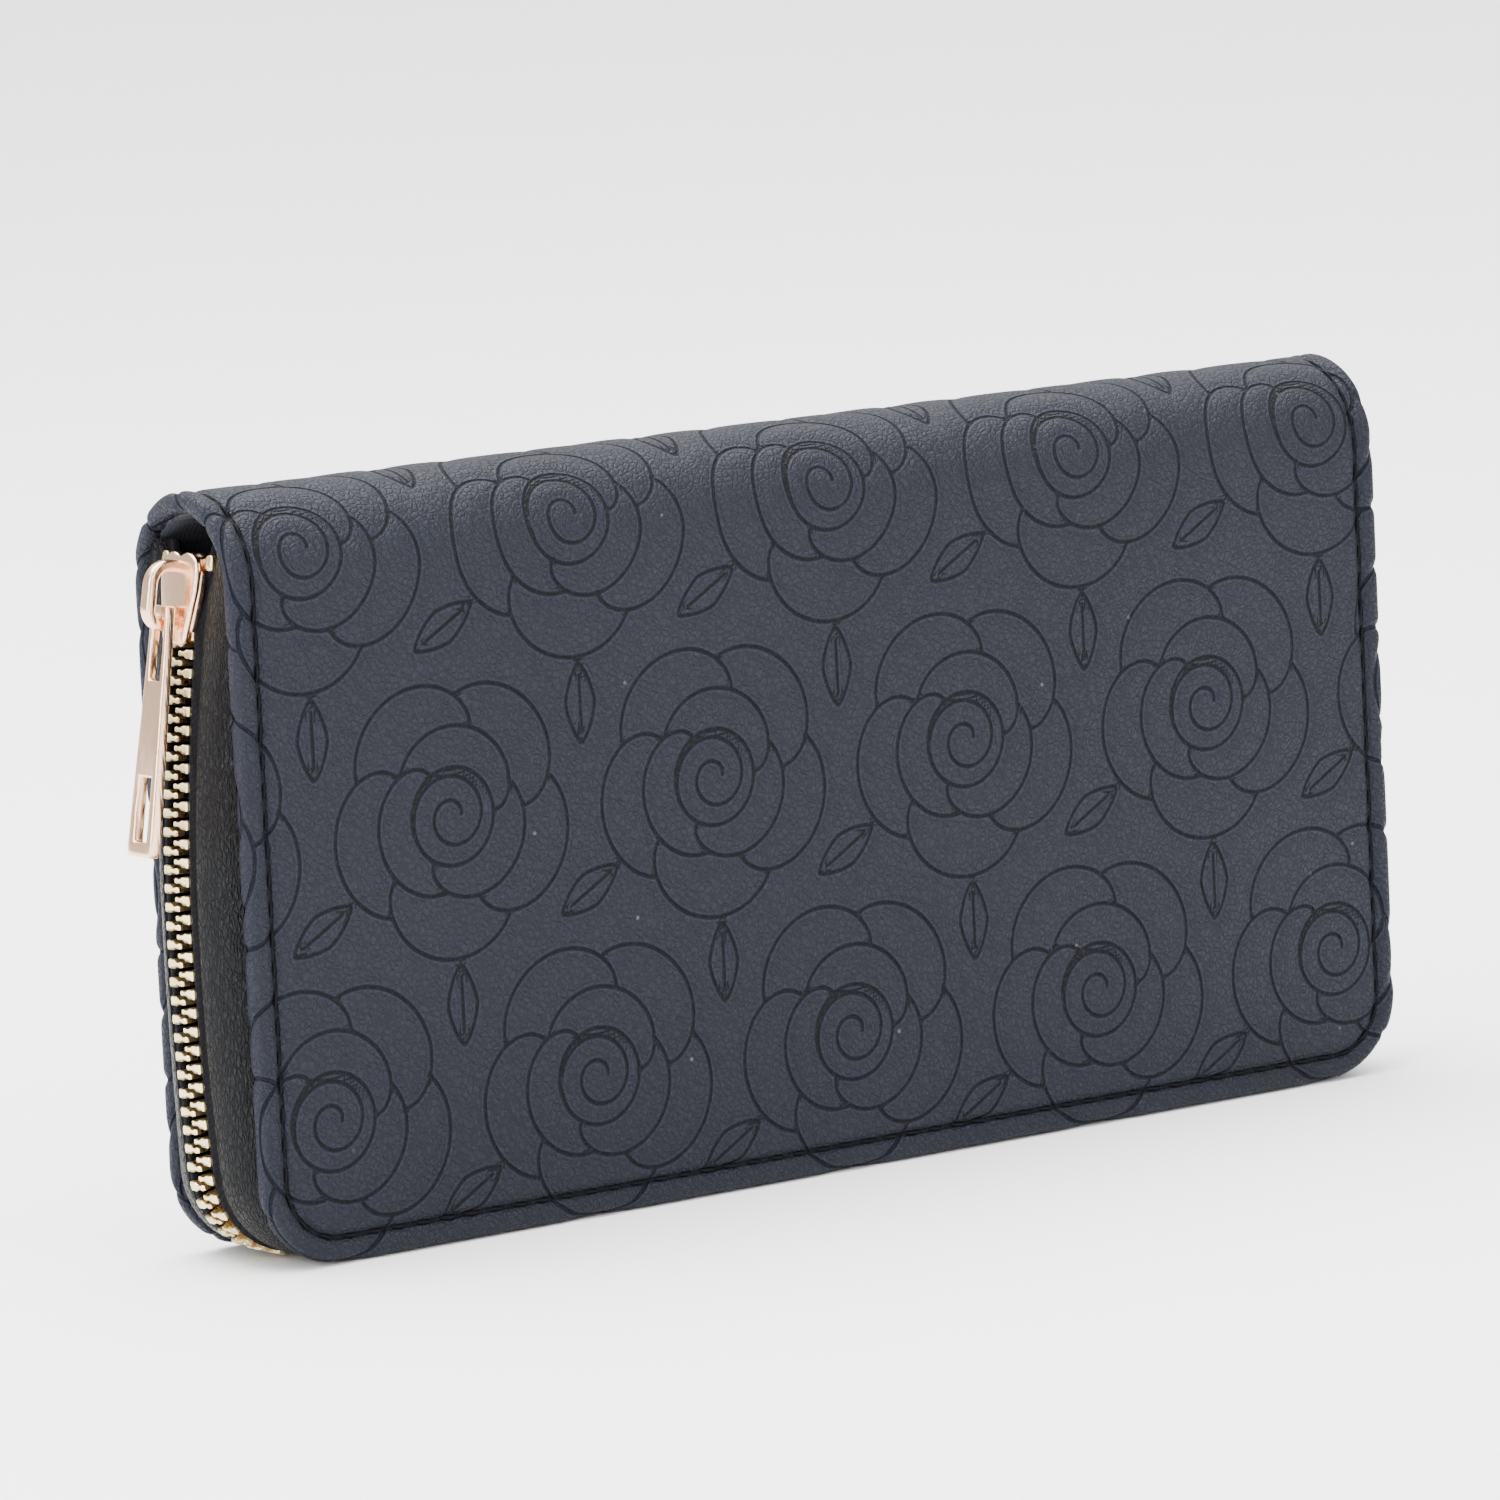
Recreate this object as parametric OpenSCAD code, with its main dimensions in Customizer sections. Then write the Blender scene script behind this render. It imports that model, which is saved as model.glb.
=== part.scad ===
// Zip-around wallet, closed and standing on its long zipped edge with the spine on top.
// The origin is the middle of the back cover's lower edge, on its outer face.
// +X runs along the length, the front cover faces -Y, and +Z is up.

/* [Wallet] */
// Length along the spine
length = 190; // [180:1:200]
// Height from the zipped edge to the top of the spine
height = 100; // [96:1:106]
// Depth across both covers, which is also the diameter of the spine
depth = 23.4; // [23:0.1:25]
// Radius of the covers' lower corners
corner_r = 11.5; // [10:0.5:13]

/* [Covers] */
// Thickness of the outer leather
leather_t = 1.2; // [1:0.1:1.4]
// Thickness of the stiffening board and of the spine padding
board_t = 1.0; // [0.8:0.1:1.2]
// Thickness of the fabric lining
lining_t = 0.5; // [0.4:0.1:0.6]
// Width of the turned edge that closes each cover
hem_w = 2.0; // [1.6:0.1:2.4]
// Distance from the cover's edge to its line of stitching
stitch_inset = 3.4; // [3:0.1:4]
// Distance from one stitch to the next
stitch_pitch = 3.8; // [3:0.1:5]

/* [Zip] */
// Distance between teeth on one side of the zip
tooth_pitch = 2.42; // [2.4:0.01:2.6]
// How far the zip stands out past the covers' ends at its widest
zip_bow = 2.4; // [1.5:0.1:2.6]
// Height at which the zip stands out furthest
bow_z = 42; // [40:1:44]
// Radius of the zip's curve above that height
arc_r = 260; // [250:5:280]
// Height of the slider's middle when the wallet is closed
slider_z = 87; // [84:0.5:88]
// Length of the puller from its eye to its end
puller_len = 31.5; // [26:0.5:32]
// Outward tilt of the puller, where it rests against the bowed zip
puller_tilt = 9.5; // [9:0.5:12]

/* [Inside] */
// Step from the mouth of one card strip to the next
card_step = 10; // [8:1:11]
// Thickness of the coin leaf
leaf_t = 3.4; // [3.2:0.1:3.6]
// Height of the coin leaf's zipped mouth
leaf_z = 19; // [19:0.5:22]

/* [Hidden] */

leather_color = [0.20, 0.21, 0.25];
gusset_color = [0.07, 0.07, 0.08];
lining_color = [0.12, 0.12, 0.14];
thread_color = [0.05, 0.05, 0.06];
tooth_color = [0.85, 0.72, 0.45];
rose_gold = [0.88, 0.66, 0.56];
board_color = [0.55, 0.50, 0.44];

half_l = length / 2;
half_d = depth / 2;
spine_z = height - half_d;
cover_t = leather_t + board_t + lining_t;
inner_y = half_d - cover_t;
round_fn = 64;

// Layers inside each half, measured from the middle plane between the covers
panel_t = 0.5;
panel_end = half_l - 8;
panel_low = 6;
panel_top = spine_z - 2;
bill_y = inner_y - panel_t;
strip_low = 10;
strip_top = spine_z - 4;

// Stitch groove and stitches
groove_w = 0.8;
groove_d = 0.6;
stitch_l = 2.6;
stitch_w = 0.6;
stitch_t = 0.4;

// The zip's centre line: an upper arc, a flatter lower arc, a corner arc and the straight bottom.
// Each arc is centre + r * (-cos(a), sin(a)), where a is the lean about Y.
chain_z = 1.4;
low_arc_r = 400;
corner_arc_r = 12;
upper_cx = arc_r - half_l - zip_bow;
lower_cx = low_arc_r - half_l - zip_bow;
corner_cz = chain_z + corner_arc_r;
corner_gap = low_arc_r - corner_arc_r;
corner_cx = lower_cx - sqrt(corner_gap * corner_gap - (bow_z - corner_cz) * (bow_z - corner_cz));
low_lean = asin((bow_z - corner_cz) / corner_gap);
slider_a = asin((slider_z - bow_z) / arc_r);
// Above the slider the two sides spread apart by this much at the tape's ends
flare_a = 1.5;
flare_y = 2.2;
stop_a = 0.92;
function arc_len(r, a) = r * a * PI / 180;
function arc_turn(r, s) = s / r * 180 / PI;
s_corner = -corner_cx;
s_lower = s_corner + arc_len(corner_arc_r, 90 - low_lean);
s_upper = s_lower + arc_len(low_arc_r, low_lean);
s_slider = s_upper + arc_len(arc_r, slider_a);
function on_arc(cx, cz, r, a) = [cx - r * cos(a), cz + r * sin(a), a];
// Place and lean of the zip at a length s from the bottom's middle, towards the -X end
function chain_at(s) =
    s < s_corner ? [-s, chain_z, -90] :
    s < s_lower ? on_arc(corner_cx, corner_cz, corner_arc_r, arc_turn(corner_arc_r, s - s_corner) - 90) :
    s < s_upper ? on_arc(lower_cx, bow_z, low_arc_r, arc_turn(low_arc_r, s - s_lower) - low_lean) :
    on_arc(upper_cx, bow_z, arc_r, arc_turn(arc_r, s - s_upper));

// Zip tape, teeth and gusset
tooth_t = 2.3;
tooth_w = 0.95;
tooth_out = 2.9;
tooth_in = -0.35;
tape_t = 0.5;
tape_edge = 4.6;
gusset_t = 0.9;
gusset_rim_in = 0.6;
gusset_low_n = 0.3;
teeth_each_way = floor((s_slider - 1) / tooth_pitch);

// Metal stops: one on each side's tape above the slider, and one across both at the far end
stop_n = 0.3;
stop_t = 1.0;
stop_w = 1.2;
stop_l = 2.0;
stop_y = 5.1;
end_stop_a = 0.23;
end_stop_t = 3.0;
end_stop_w = 5.6;
end_stop_l = 2.1;

// Slider, in its own frame: outwards is -X, up the zip is +Z
channel = 1.35;
plate_t = 1.15;
plate_out = channel + plate_t;
inner_plate_t = 0.9;
flange_y = 4.3;
slit = 0.6;
slider_low = -6.5;
narrow_y = 3.2;
wide_z = 0.5;
lobe_y = 1.8;
lobe_z = 2.8;
lobe_r = flange_y - lobe_y;
crown_l = 2.2;
post_w = 1.6;
post_z = 2.6;
post_l = 2.4;
// Hooked bail on the slider's outer plate, which the puller's eye swings in
bail_w = 1.6;
bail_bar = 1.5;
bail_r = 2;
bail_reach = 5.6;
bail_high = 5.2;
bail_low = -5.0;
eye_r = 0.8;
eye_gap = 0.25;
eye_out = 1.55;
eye_x = -plate_out - eye_out;
eye_z = bail_low + bail_bar + eye_r + eye_gap;
// Puller: two rails round the eye's window, then a widening bar with a shorter window near its end
puller_w = 5.6;
puller_eye_w = 3.8;
puller_t = 1.5;
puller_r = 1;
rail_w = 1.6;
eye_len = 9;
window_l = 8.4;
window_low = 2;

// Coin leaf, in the middle plane
wall_t = 0.7;
leaf_half = leaf_t / 2;
wall_in = leaf_half - wall_t;
leaf_end = half_l - 11;
leaf_top = height - 5;
bag_t = 0.3;
bag_low = leaf_z + 5;
binding_t = 1.2;
hinge_strip_end = half_l - 13;
hinge_strip_t = 1.2;
hinge_strip_h = 0.8;

// Coin zip along the leaf's mouth: tapes, coils, stops, and where its slider stands
coin_x = -70;
coil_low_x = coin_x - 2.2;
coil_end_x = 75.8;
coin_tape_over = 3.8;
coin_tape_t = 0.35;
coil_z = leaf_z - 2.8;
coil_h = 1.4;
coil_y = 1.5;
coil_gap = 0.05;
coin_stop_l = 1.6;
coin_stop_w = 2.8;
coin_stop_over = 0.1;
coin_stop_x = coin_x - 6.5;

// Coin slider, its bail and its puller
coin_plate_z = leaf_z - 4.4;
coin_plate_t = 1.3;
coin_plate_y = 2.6;
coin_plate_l = 8.4;
coin_side_y = 1.9;
coin_side_h = 2;
coin_post_w = 0.6;
coin_post_l = 1.4;
coin_post_h = 2.1;
coin_keel_h = 0.8;
coin_pin_r = 0.5;
coin_pin_z = coin_plate_z - 0.7;
coin_bar_t = 0.6;
coin_bar_w = 1;
coin_bar_gap = 0.2;
coin_foot = 2.5;
coin_puller_l = 9.5;
coin_puller_w = 3.2;
coin_puller_t = 0.8;
coin_eye_w = 1.6;
coin_eye_l = 4.2;
coin_eye_low = 4.6;

// Places a half made about the middle plane; the front is the back's mirror image
module back_side() translate([0, -half_d, 0]) children();
module front_side() translate([0, -half_d, 0]) mirror([0, 1, 0]) children();
module both_ends() {
    children();
    mirror([1, 0, 0]) children();
}
// Extrudes an outline drawn in X and Z from y_low to y_high
module slab(y_low, y_high)
    translate([0, y_high, 0]) rotate([90, 0, 0]) linear_extrude(y_high - y_low) children();
// Extrudes an outline drawn in Y and Z along X, over half-length l each way
module along_x(l) translate([-l, 0, 0]) rotate([90, 0, 90]) linear_extrude(2 * l) children();

// Cover outline, square at the top and round at the lower corners
module cover_outline(inset, top) {
    r = corner_r - inset;
    translate([inset - half_l, corner_r]) square([length - 2 * inset, top - corner_r]);
    translate([corner_r - half_l, inset]) square([length - 2 * corner_r, corner_r]);
    for (side = [-1, 1]) translate([side * (half_l - corner_r), corner_r]) circle(r, $fn = round_fn);
}
// Quarter ring of the spine, from depth d1 to depth d2 below its outer surface
module spine_quarter(d1, d2) translate([0, spine_z]) intersection() {
    difference() {
        circle(half_d - d1, $fn = round_fn);
        circle(half_d - d2, $fn = round_fn);
    }
    square(half_d);
}

module half_cover() {
    difference() {
        slab(inner_y, half_d) cover_outline(0, spine_z);
        slab(inner_y - 1, half_d - leather_t) cover_outline(hem_w, spine_z + 1);
        slab(half_d - groove_d, half_d + 1) difference() {
            cover_outline(stitch_inset - groove_w / 2, spine_z + 1);
            cover_outline(stitch_inset + groove_w / 2, spine_z + 2);
        }
    }
    along_x(half_l) spine_quarter(0, leather_t);
    both_ends() translate([-half_l + hem_w / 2, 0, 0]) along_x(hem_w / 2) spine_quarter(leather_t, cover_t);
}
module half_board() slab(half_d - leather_t - board_t, half_d - leather_t) cover_outline(hem_w, spine_z);
module half_spine_pad() along_x(half_l - hem_w) spine_quarter(leather_t, leather_t + board_t);
module half_lining() {
    slab(inner_y, inner_y + lining_t) cover_outline(hem_w, spine_z);
    along_x(half_l - hem_w) spine_quarter(leather_t + board_t, cover_t);
}
module half_bill_panel() translate([-panel_end, bill_y, panel_low])
    cube([2 * panel_end, panel_t, panel_top - panel_low]);
// Card strip k, where strip 1 lies deepest and strip 4 is nearest the leaf
module half_card_strip(k) {
    low = strip_low + (k - 1) * card_step;
    translate([-panel_end, bill_y - k * panel_t, low]) cube([2 * panel_end, panel_t, strip_top - low]);
}

// Stitches lie in the groove: down each end, round each corner and along the bottom
module stitch()
    translate([-stitch_l / 2, half_d - groove_d, -stitch_w / 2]) cube([stitch_l, stitch_t, stitch_w]);
module half_stitching() {
    corner = corner_r - stitch_inset;
    bottom_n = floor((half_l - corner_r) / stitch_pitch);
    end_n = floor((spine_z - corner_r) / stitch_pitch);
    corner_n = 4;
    for (i = [-bottom_n : bottom_n]) translate([i * stitch_pitch, 0, stitch_inset]) stitch();
    both_ends() {
        for (i = [1 : end_n]) translate([stitch_inset - half_l, 0, corner_r + (i - 0.5) * stitch_pitch])
            rotate([0, 90, 0]) stitch();
        for (i = [1 : corner_n - 1]) translate([corner_r - half_l, 0, corner_r])
            rotate([0, 90 - i * 90 / corner_n, 0]) translate([0, 0, -corner]) stitch();
    }
}

// Stations along one end of the zip, from the bottom's middle up, as [x, z, lean]
bottom_stations = [for (i = [0 : 3]) chain_at(s_corner * i / 3)];
corner_stations = [for (i = [1 : 8]) chain_at(s_corner + (s_lower - s_corner) * i / 8)];
lower_stations = [for (i = [1 : 4]) chain_at(s_lower + (s_upper - s_lower) * i / 4 - 0.001)];
upper_stations = concat(
    [for (i = [1 : 7]) on_arc(upper_cx, bow_z, arc_r, slider_a * i / 7)],
    [on_arc(upper_cx, bow_z, arc_r, slider_a + flare_a)]
);
stations = concat(bottom_stations, corner_stations, lower_stations, upper_stations);
function flare(a) = flare_y * max(0, a - slider_a) / flare_a;
// A point n outwards from station p, at y
function out_of(p, n, y) = [p[0] - n * cos(p[2]), y + flare(p[2]), p[1] + n * sin(p[2])];
// The half width inside the spine's arch at height z, where the arch narrows above its centre
function arch_y(z) = z > spine_z ? sqrt(inner_y * inner_y - (z - spine_z) * (z - spine_z)) : inner_y;
// The covers' edge beside station p, inset by e, at y or as wide as the arch allows
function edge_by(p, e, y) =
    p[1] > corner_r ? [e - half_l, min(y, arch_y(p[1])), p[1]] :
    p[0] > corner_r - half_l ? [p[0], y, e] :
    let (a = atan2(corner_r - p[1], corner_r - half_l - p[0]), r = corner_r - e)
    [corner_r - half_l - r * cos(a), y, corner_r - r * sin(a)];
// Joins rings of four points into one closed band
module band(rings) {
    last = 4 * (len(rings) - 1);
    sides = [for (i = [0 : len(rings) - 2]) for (j = [0 : 3]) for (half = [0, 1])
        let (a = 4 * i + j, b = 4 * i + (j + 1) % 4)
        half == 0 ? [a, b, b + 4] : [a, b + 4, a + 4]];
    points = [for (ring = rings) for (p = ring) p];
    ends = [[3, 2, 1, 0], [last, last + 1, last + 2, last + 3]];
    polyhedron(points, concat([ends[0]], sides, [ends[1]]), convexity = 6);
}
// The whole zip line, from the +X end round to the -X end
function flipped(ring) = [for (p = ring) [-p[0], p[1], p[2]]];
function whole(rings) = concat(
    [for (i = [len(rings) - 1 : -1 : 1]) flipped(rings[i])],
    rings
);
function tape_ring(p) = [
    out_of(p, -tape_t / 2, tooth_out), out_of(p, -tape_t / 2, tape_edge),
    out_of(p, tape_t / 2, tape_edge), out_of(p, tape_t / 2, tooth_out)
];
function gusset_ring(p) = [
    out_of(p, -gusset_low_n, tape_edge), edge_by(p, gusset_rim_in + gusset_t, inner_y),
    edge_by(p, gusset_rim_in, inner_y), out_of(p, gusset_t - gusset_low_n, tape_edge)
];
module half_tape() band(whole([for (p = stations) tape_ring(p)]));
module half_gusset() band(whole([for (p = stations) gusset_ring(p)]));
module tooth(p) translate([p[0], 0, p[1]]) rotate([0, p[2], 0])
    translate([-tooth_t / 2, tooth_in, -tooth_w / 2]) cube([tooth_t, tooth_out - tooth_in, tooth_w]);
// Teeth stand at every pitch, and one side is half a pitch on from the other
module half_teeth(shift) {
    for (i = [0 : teeth_each_way - 1]) tooth(chain_at((i + shift) * tooth_pitch));
    mirror([1, 0, 0]) for (i = [0 : teeth_each_way - 1]) tooth(chain_at((i + 1 - shift) * tooth_pitch));
}

// Stands something made upright, with outwards as -X, on the zip's upper arc at lean a
module on_zip(a)
    translate([upper_cx, -half_d, bow_z]) rotate([0, a, 0]) translate([-arc_r, 0, 0]) children();
module half_stop(side) on_zip(slider_a + stop_a)
    translate([-stop_n - stop_t, side * stop_y - stop_w / 2, -stop_l / 2]) cube([stop_t, stop_w, stop_l]);
module zip_end_stop() mirror([1, 0, 0]) on_zip(slider_a + end_stop_a)
    translate([-end_stop_t / 2, -end_stop_w / 2, -end_stop_l / 2])
        cube([end_stop_t, end_stop_w, end_stop_l]);

// Plate of the slider, wide at the top where the sides part and narrow at the bottom
module plate_outline() {
    polygon([
        [-narrow_y, slider_low], [narrow_y, slider_low], [flange_y, wide_z],
        [flange_y, lobe_z], [-flange_y, lobe_z], [-flange_y, wide_z]
    ]);
    for (side = [-1, 1]) translate([side * lobe_y, lobe_z]) circle(lobe_r, $fn = round_fn);
    translate([-lobe_y, lobe_z]) square([2 * lobe_y, crown_l]);
}
// Extrudes an outline drawn in Y and Z from x_low to x_high
module sheet(x_low, x_high)
    translate([x_low, 0, 0]) rotate([90, 0, 90]) linear_extrude(x_high - x_low) children();
// The part of the plate's outline that turns in as a flange, on one side
module flange_outline(side) intersection() {
    plate_outline();
    translate([side > 0 ? narrow_y : -flange_y, slider_low])
        square([flange_y - narrow_y, lobe_z - slider_low]);
}
module slider_shell() {
    sheet(-plate_out, -channel) plate_outline();
    sheet(channel, channel + inner_plate_t) plate_outline();
    sheet(-channel, channel) translate([-post_w / 2, post_z]) square([post_w, post_l]);
    for (side = [-1, 1]) {
        sheet(-channel, -slit) flange_outline(side);
        sheet(slit, channel) flange_outline(side);
    }
}
// Hooked bail that stands out from the slider's plate
module bail_outline() difference() {
    union() {
        translate([-plate_out - bail_reach, bail_low + bail_r])
            square([bail_reach, bail_high - bail_low - 2 * bail_r]);
        translate([-plate_out - bail_reach + bail_r, bail_low])
            square([bail_reach - bail_r, bail_high - bail_low]);
        for (z = [bail_low + bail_r, bail_high - bail_r])
            translate([-plate_out - bail_reach + bail_r, z]) circle(bail_r, $fn = round_fn);
    }
    translate([-plate_out - bail_reach + bail_bar, bail_low + bail_bar])
        square([bail_reach, bail_high - bail_low - 2 * bail_bar]);
}
module slider_hook()
    rotate([90, 0, 0]) translate([0, 0, -bail_w / 2]) linear_extrude(bail_w) bail_outline();
// Puller in its own frame: the eye's bar lies on the Y axis and the strip hangs down
module puller_outline() {
    shoulder_z = puller_r - puller_len;
    polygon([
        [-puller_eye_w / 2, 0], [-puller_w / 2, shoulder_z], [puller_w / 2, shoulder_z], [puller_eye_w / 2, 0]
    ]);
    translate([puller_r - puller_w / 2, -puller_len]) square([puller_w - 2 * puller_r, 2 * puller_r]);
    for (side = [-1, 1]) translate([side * (puller_w / 2 - puller_r), puller_r - puller_len])
        circle(puller_r, $fn = round_fn);
}
module puller_strip() {
    inside_w = puller_w - 2 * rail_w;
    rotate([90, 0, 0]) translate([0, 0, -puller_eye_w / 2])
        cylinder(r = eye_r, h = puller_eye_w, $fn = round_fn);
    difference() {
        sheet(-puller_t / 2, puller_t / 2) puller_outline();
        translate([-puller_t, -inside_w / 2, -eye_len]) cube([2 * puller_t, inside_w, eye_len - eye_r]);
        translate([-puller_t, -inside_w / 2, window_low - puller_len])
            cube([2 * puller_t, inside_w, window_l]);
    }
}

// Coin leaf and its own zip, which runs along X under the leaf's mouth
module coin_wall(side) translate([-leaf_end, side > 0 ? wall_in - half_d : -half_d - leaf_half, leaf_z])
    cube([2 * leaf_end, wall_t, leaf_top - leaf_z]);
module coin_bag_shape() difference() {
    translate([-leaf_end, -half_d - wall_in, bag_low])
        cube([2 * leaf_end, 2 * wall_in, leaf_top - bag_low]);
    translate([bag_t - leaf_end, bag_t - half_d - wall_in, bag_low - bag_t])
        cube([2 * (leaf_end - bag_t), 2 * (wall_in - bag_t), leaf_top - bag_low]);
}
module leaf_edge() {
    for (side = [-1, 1])
        translate([side > 0 ? leaf_end : -leaf_end - binding_t, -half_d - leaf_half, leaf_z])
            cube([binding_t, leaf_t, leaf_top - leaf_z]);
    translate([-leaf_end - binding_t, -half_d - leaf_half, leaf_top])
        cube([2 * (leaf_end + binding_t), leaf_t, binding_t]);
}
module leaf_hinge() translate([-hinge_strip_end, -half_d - hinge_strip_t / 2, leaf_top + binding_t])
    cube([2 * hinge_strip_end, hinge_strip_t, hinge_strip_h]);
module coin_tape(side)
    translate([
        coil_low_x - coin_tape_over,
        side > 0 ? wall_in - coin_tape_t - half_d : -half_d - wall_in,
        coil_z + coil_h
    ]) cube([coil_end_x - coil_low_x + 2 * coin_tape_over, coin_tape_t, bag_low - coil_z - coil_h]);
module coin_coil(side) translate([coil_low_x, side > 0 ? coil_gap - half_d : -half_d - coil_y, coil_z])
    cube([coil_end_x - coil_low_x, coil_y - coil_gap, coil_h]);
module coin_stop(x) translate([x, -half_d - coin_stop_w / 2, coil_z - coin_stop_over])
    cube([coin_stop_l, coin_stop_w, coil_h + coin_stop_over]);
module coin_slider_shell() translate([coin_x - coin_plate_l / 2, -half_d, coin_plate_z]) {
    translate([0, -coin_plate_y, 0]) cube([coin_plate_l, 2 * coin_plate_y, coin_plate_t]);
    for (side = [-1, 1]) translate([0, side > 0 ? coin_side_y : -coin_plate_y, coin_plate_t])
        cube([coin_plate_l, coin_plate_y - coin_side_y, coin_side_h]);
    translate([0, -coin_post_w / 2, coin_plate_t]) cube([coin_post_l, coin_post_w, coin_post_h]);
    translate([0, -coin_post_w / 2, coin_plate_t + coin_post_h])
        cube([coin_plate_l, coin_post_w, coin_keel_h]);
}
module coin_hook() translate([coin_x, -half_d - coin_bar_w / 2, 0]) {
    low = coin_pin_z - coin_pin_r - coin_bar_gap - coin_bar_t;
    for (side = [-1, 1]) translate([side * coin_foot - coin_bar_t / 2, 0, low])
        cube([coin_bar_t, coin_bar_w, coin_plate_z - low]);
    translate([-coin_foot, 0, low]) cube([2 * coin_foot, coin_bar_w, coin_bar_t]);
}
module coin_pull() translate([coin_x, -half_d, coin_pin_z]) {
    rotate([90, 0, 0]) translate([0, 0, -coin_puller_w / 2])
        cylinder(r = coin_pin_r, h = coin_puller_w, $fn = round_fn);
    difference() {
        translate([-coin_puller_t / 2, -coin_puller_w / 2, -coin_puller_l])
            cube([coin_puller_t, coin_puller_w, coin_puller_l]);
        translate([-coin_puller_t, -coin_eye_w / 2, -coin_eye_low])
            cube([2 * coin_puller_t, coin_eye_w, coin_eye_l]);
    }
}

module cover_back() color(leather_color) back_side() half_cover();
module board_back() color(board_color) back_side() half_board();
module spine_pad_back() color(board_color) back_side() half_spine_pad();
module lining_back() color(lining_color) back_side() half_lining();
module bill_panel_back() color(lining_color) back_side() half_bill_panel();
module card_strip_back(k) color(gusset_color) back_side() half_card_strip(k);
module gusset_back() color(gusset_color) back_side() half_gusset();
module zip_tape_back() color(gusset_color) back_side() half_tape();
module zip_teeth_back() color(tooth_color) back_side() half_teeth(0.5);
module stitching_back() color(thread_color) back_side() half_stitching();
module top_stop_back() color(tooth_color) half_stop(1);
module cover_front() color(leather_color) front_side() half_cover();
module board_front() color(board_color) front_side() half_board();
module spine_pad_front() color(board_color) front_side() half_spine_pad();
module lining_front() color(lining_color) front_side() half_lining();
module bill_panel_front() color(lining_color) front_side() half_bill_panel();
module card_strip_front(k) color(gusset_color) front_side() half_card_strip(k);
module gusset_front() color(gusset_color) front_side() half_gusset();
module zip_tape_front() color(gusset_color) front_side() half_tape();
module zip_teeth_front() color(tooth_color) front_side() half_teeth(0);
module stitching_front() color(thread_color) front_side() half_stitching();
module top_stop_front() color(tooth_color) half_stop(-1);
module bottom_stop() color(tooth_color) zip_end_stop();
module slider_body() color(rose_gold) on_zip(slider_a) slider_shell();
module slider_bail() color(rose_gold) on_zip(slider_a) slider_hook();
module zip_puller() color(rose_gold) on_zip(slider_a) translate([eye_x, 0, eye_z])
    rotate([0, puller_tilt - slider_a, 0]) puller_strip();
module coin_wall_back() color(gusset_color) coin_wall(1);
module coin_wall_front() color(gusset_color) coin_wall(-1);
module coin_bag() color(lining_color) coin_bag_shape();
module leaf_binding() color(gusset_color) leaf_edge();
module leaf_hinge_strip() color(lining_color) leaf_hinge();
module coin_tape_back() color(gusset_color) coin_tape(1);
module coin_tape_front() color(gusset_color) coin_tape(-1);
module coin_coil_back() color(gusset_color) coin_coil(1);
module coin_coil_front() color(gusset_color) coin_coil(-1);
module coin_top_stop() color(tooth_color) coin_stop(coin_stop_x);
module coin_bottom_stop() color(tooth_color) coin_stop(coil_end_x);
module coin_slider() color(rose_gold) coin_slider_shell();
module coin_bail() color(rose_gold) coin_hook();
module coin_puller() color(rose_gold) coin_pull();

cover_back();
board_back();
spine_pad_back();
lining_back();
bill_panel_back();
card_strip_back(1);  // card_strip_back_1
card_strip_back(2);  // card_strip_back_2
card_strip_back(3);  // card_strip_back_3
card_strip_back(4);  // card_strip_back_4
gusset_back();
zip_tape_back();
zip_teeth_back();
stitching_back();
top_stop_back();
cover_front();
board_front();
spine_pad_front();
lining_front();
bill_panel_front();
card_strip_front(1);  // card_strip_front_1
card_strip_front(2);  // card_strip_front_2
card_strip_front(3);  // card_strip_front_3
card_strip_front(4);  // card_strip_front_4
gusset_front();
zip_tape_front();
zip_teeth_front();
stitching_front();
top_stop_front();
bottom_stop();
slider_body();
slider_bail();
zip_puller();
coin_wall_back();
coin_wall_front();
coin_bag();
leaf_binding();
leaf_hinge_strip();
coin_tape_back();
coin_tape_front();
coin_coil_back();
coin_coil_front();
coin_top_stop();
coin_bottom_stop();
coin_slider();
coin_bail();
coin_puller();
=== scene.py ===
"""Builds a zip-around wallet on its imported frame: embossed leather, zip, pockets, coin leaf and studio."""

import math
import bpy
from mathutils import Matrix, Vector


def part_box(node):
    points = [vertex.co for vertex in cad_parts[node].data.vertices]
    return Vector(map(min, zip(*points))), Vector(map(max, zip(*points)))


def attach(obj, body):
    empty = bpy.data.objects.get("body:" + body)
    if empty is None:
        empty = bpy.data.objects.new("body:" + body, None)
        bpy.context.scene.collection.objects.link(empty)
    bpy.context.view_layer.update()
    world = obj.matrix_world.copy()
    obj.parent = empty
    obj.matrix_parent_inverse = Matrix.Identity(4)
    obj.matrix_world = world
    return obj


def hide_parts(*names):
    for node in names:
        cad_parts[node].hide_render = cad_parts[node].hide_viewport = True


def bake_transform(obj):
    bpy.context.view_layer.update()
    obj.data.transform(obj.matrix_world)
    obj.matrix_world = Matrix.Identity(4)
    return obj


bl_info = {
    "name": "Zip-around wallet",
    "version": (1, 0, 0),
    "blender": (4, 5, 0),
    "location": "View3D > Sidebar > Wallet",
    "description": "Leather, zip, pockets and metal parts of a zip-around wallet, made on its packed frame",
    "category": "Object",
}

import bpy
import numpy as np
from bpy.props import FloatProperty, FloatVectorProperty, IntProperty, PointerProperty
from mathutils import Matrix, Vector

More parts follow.
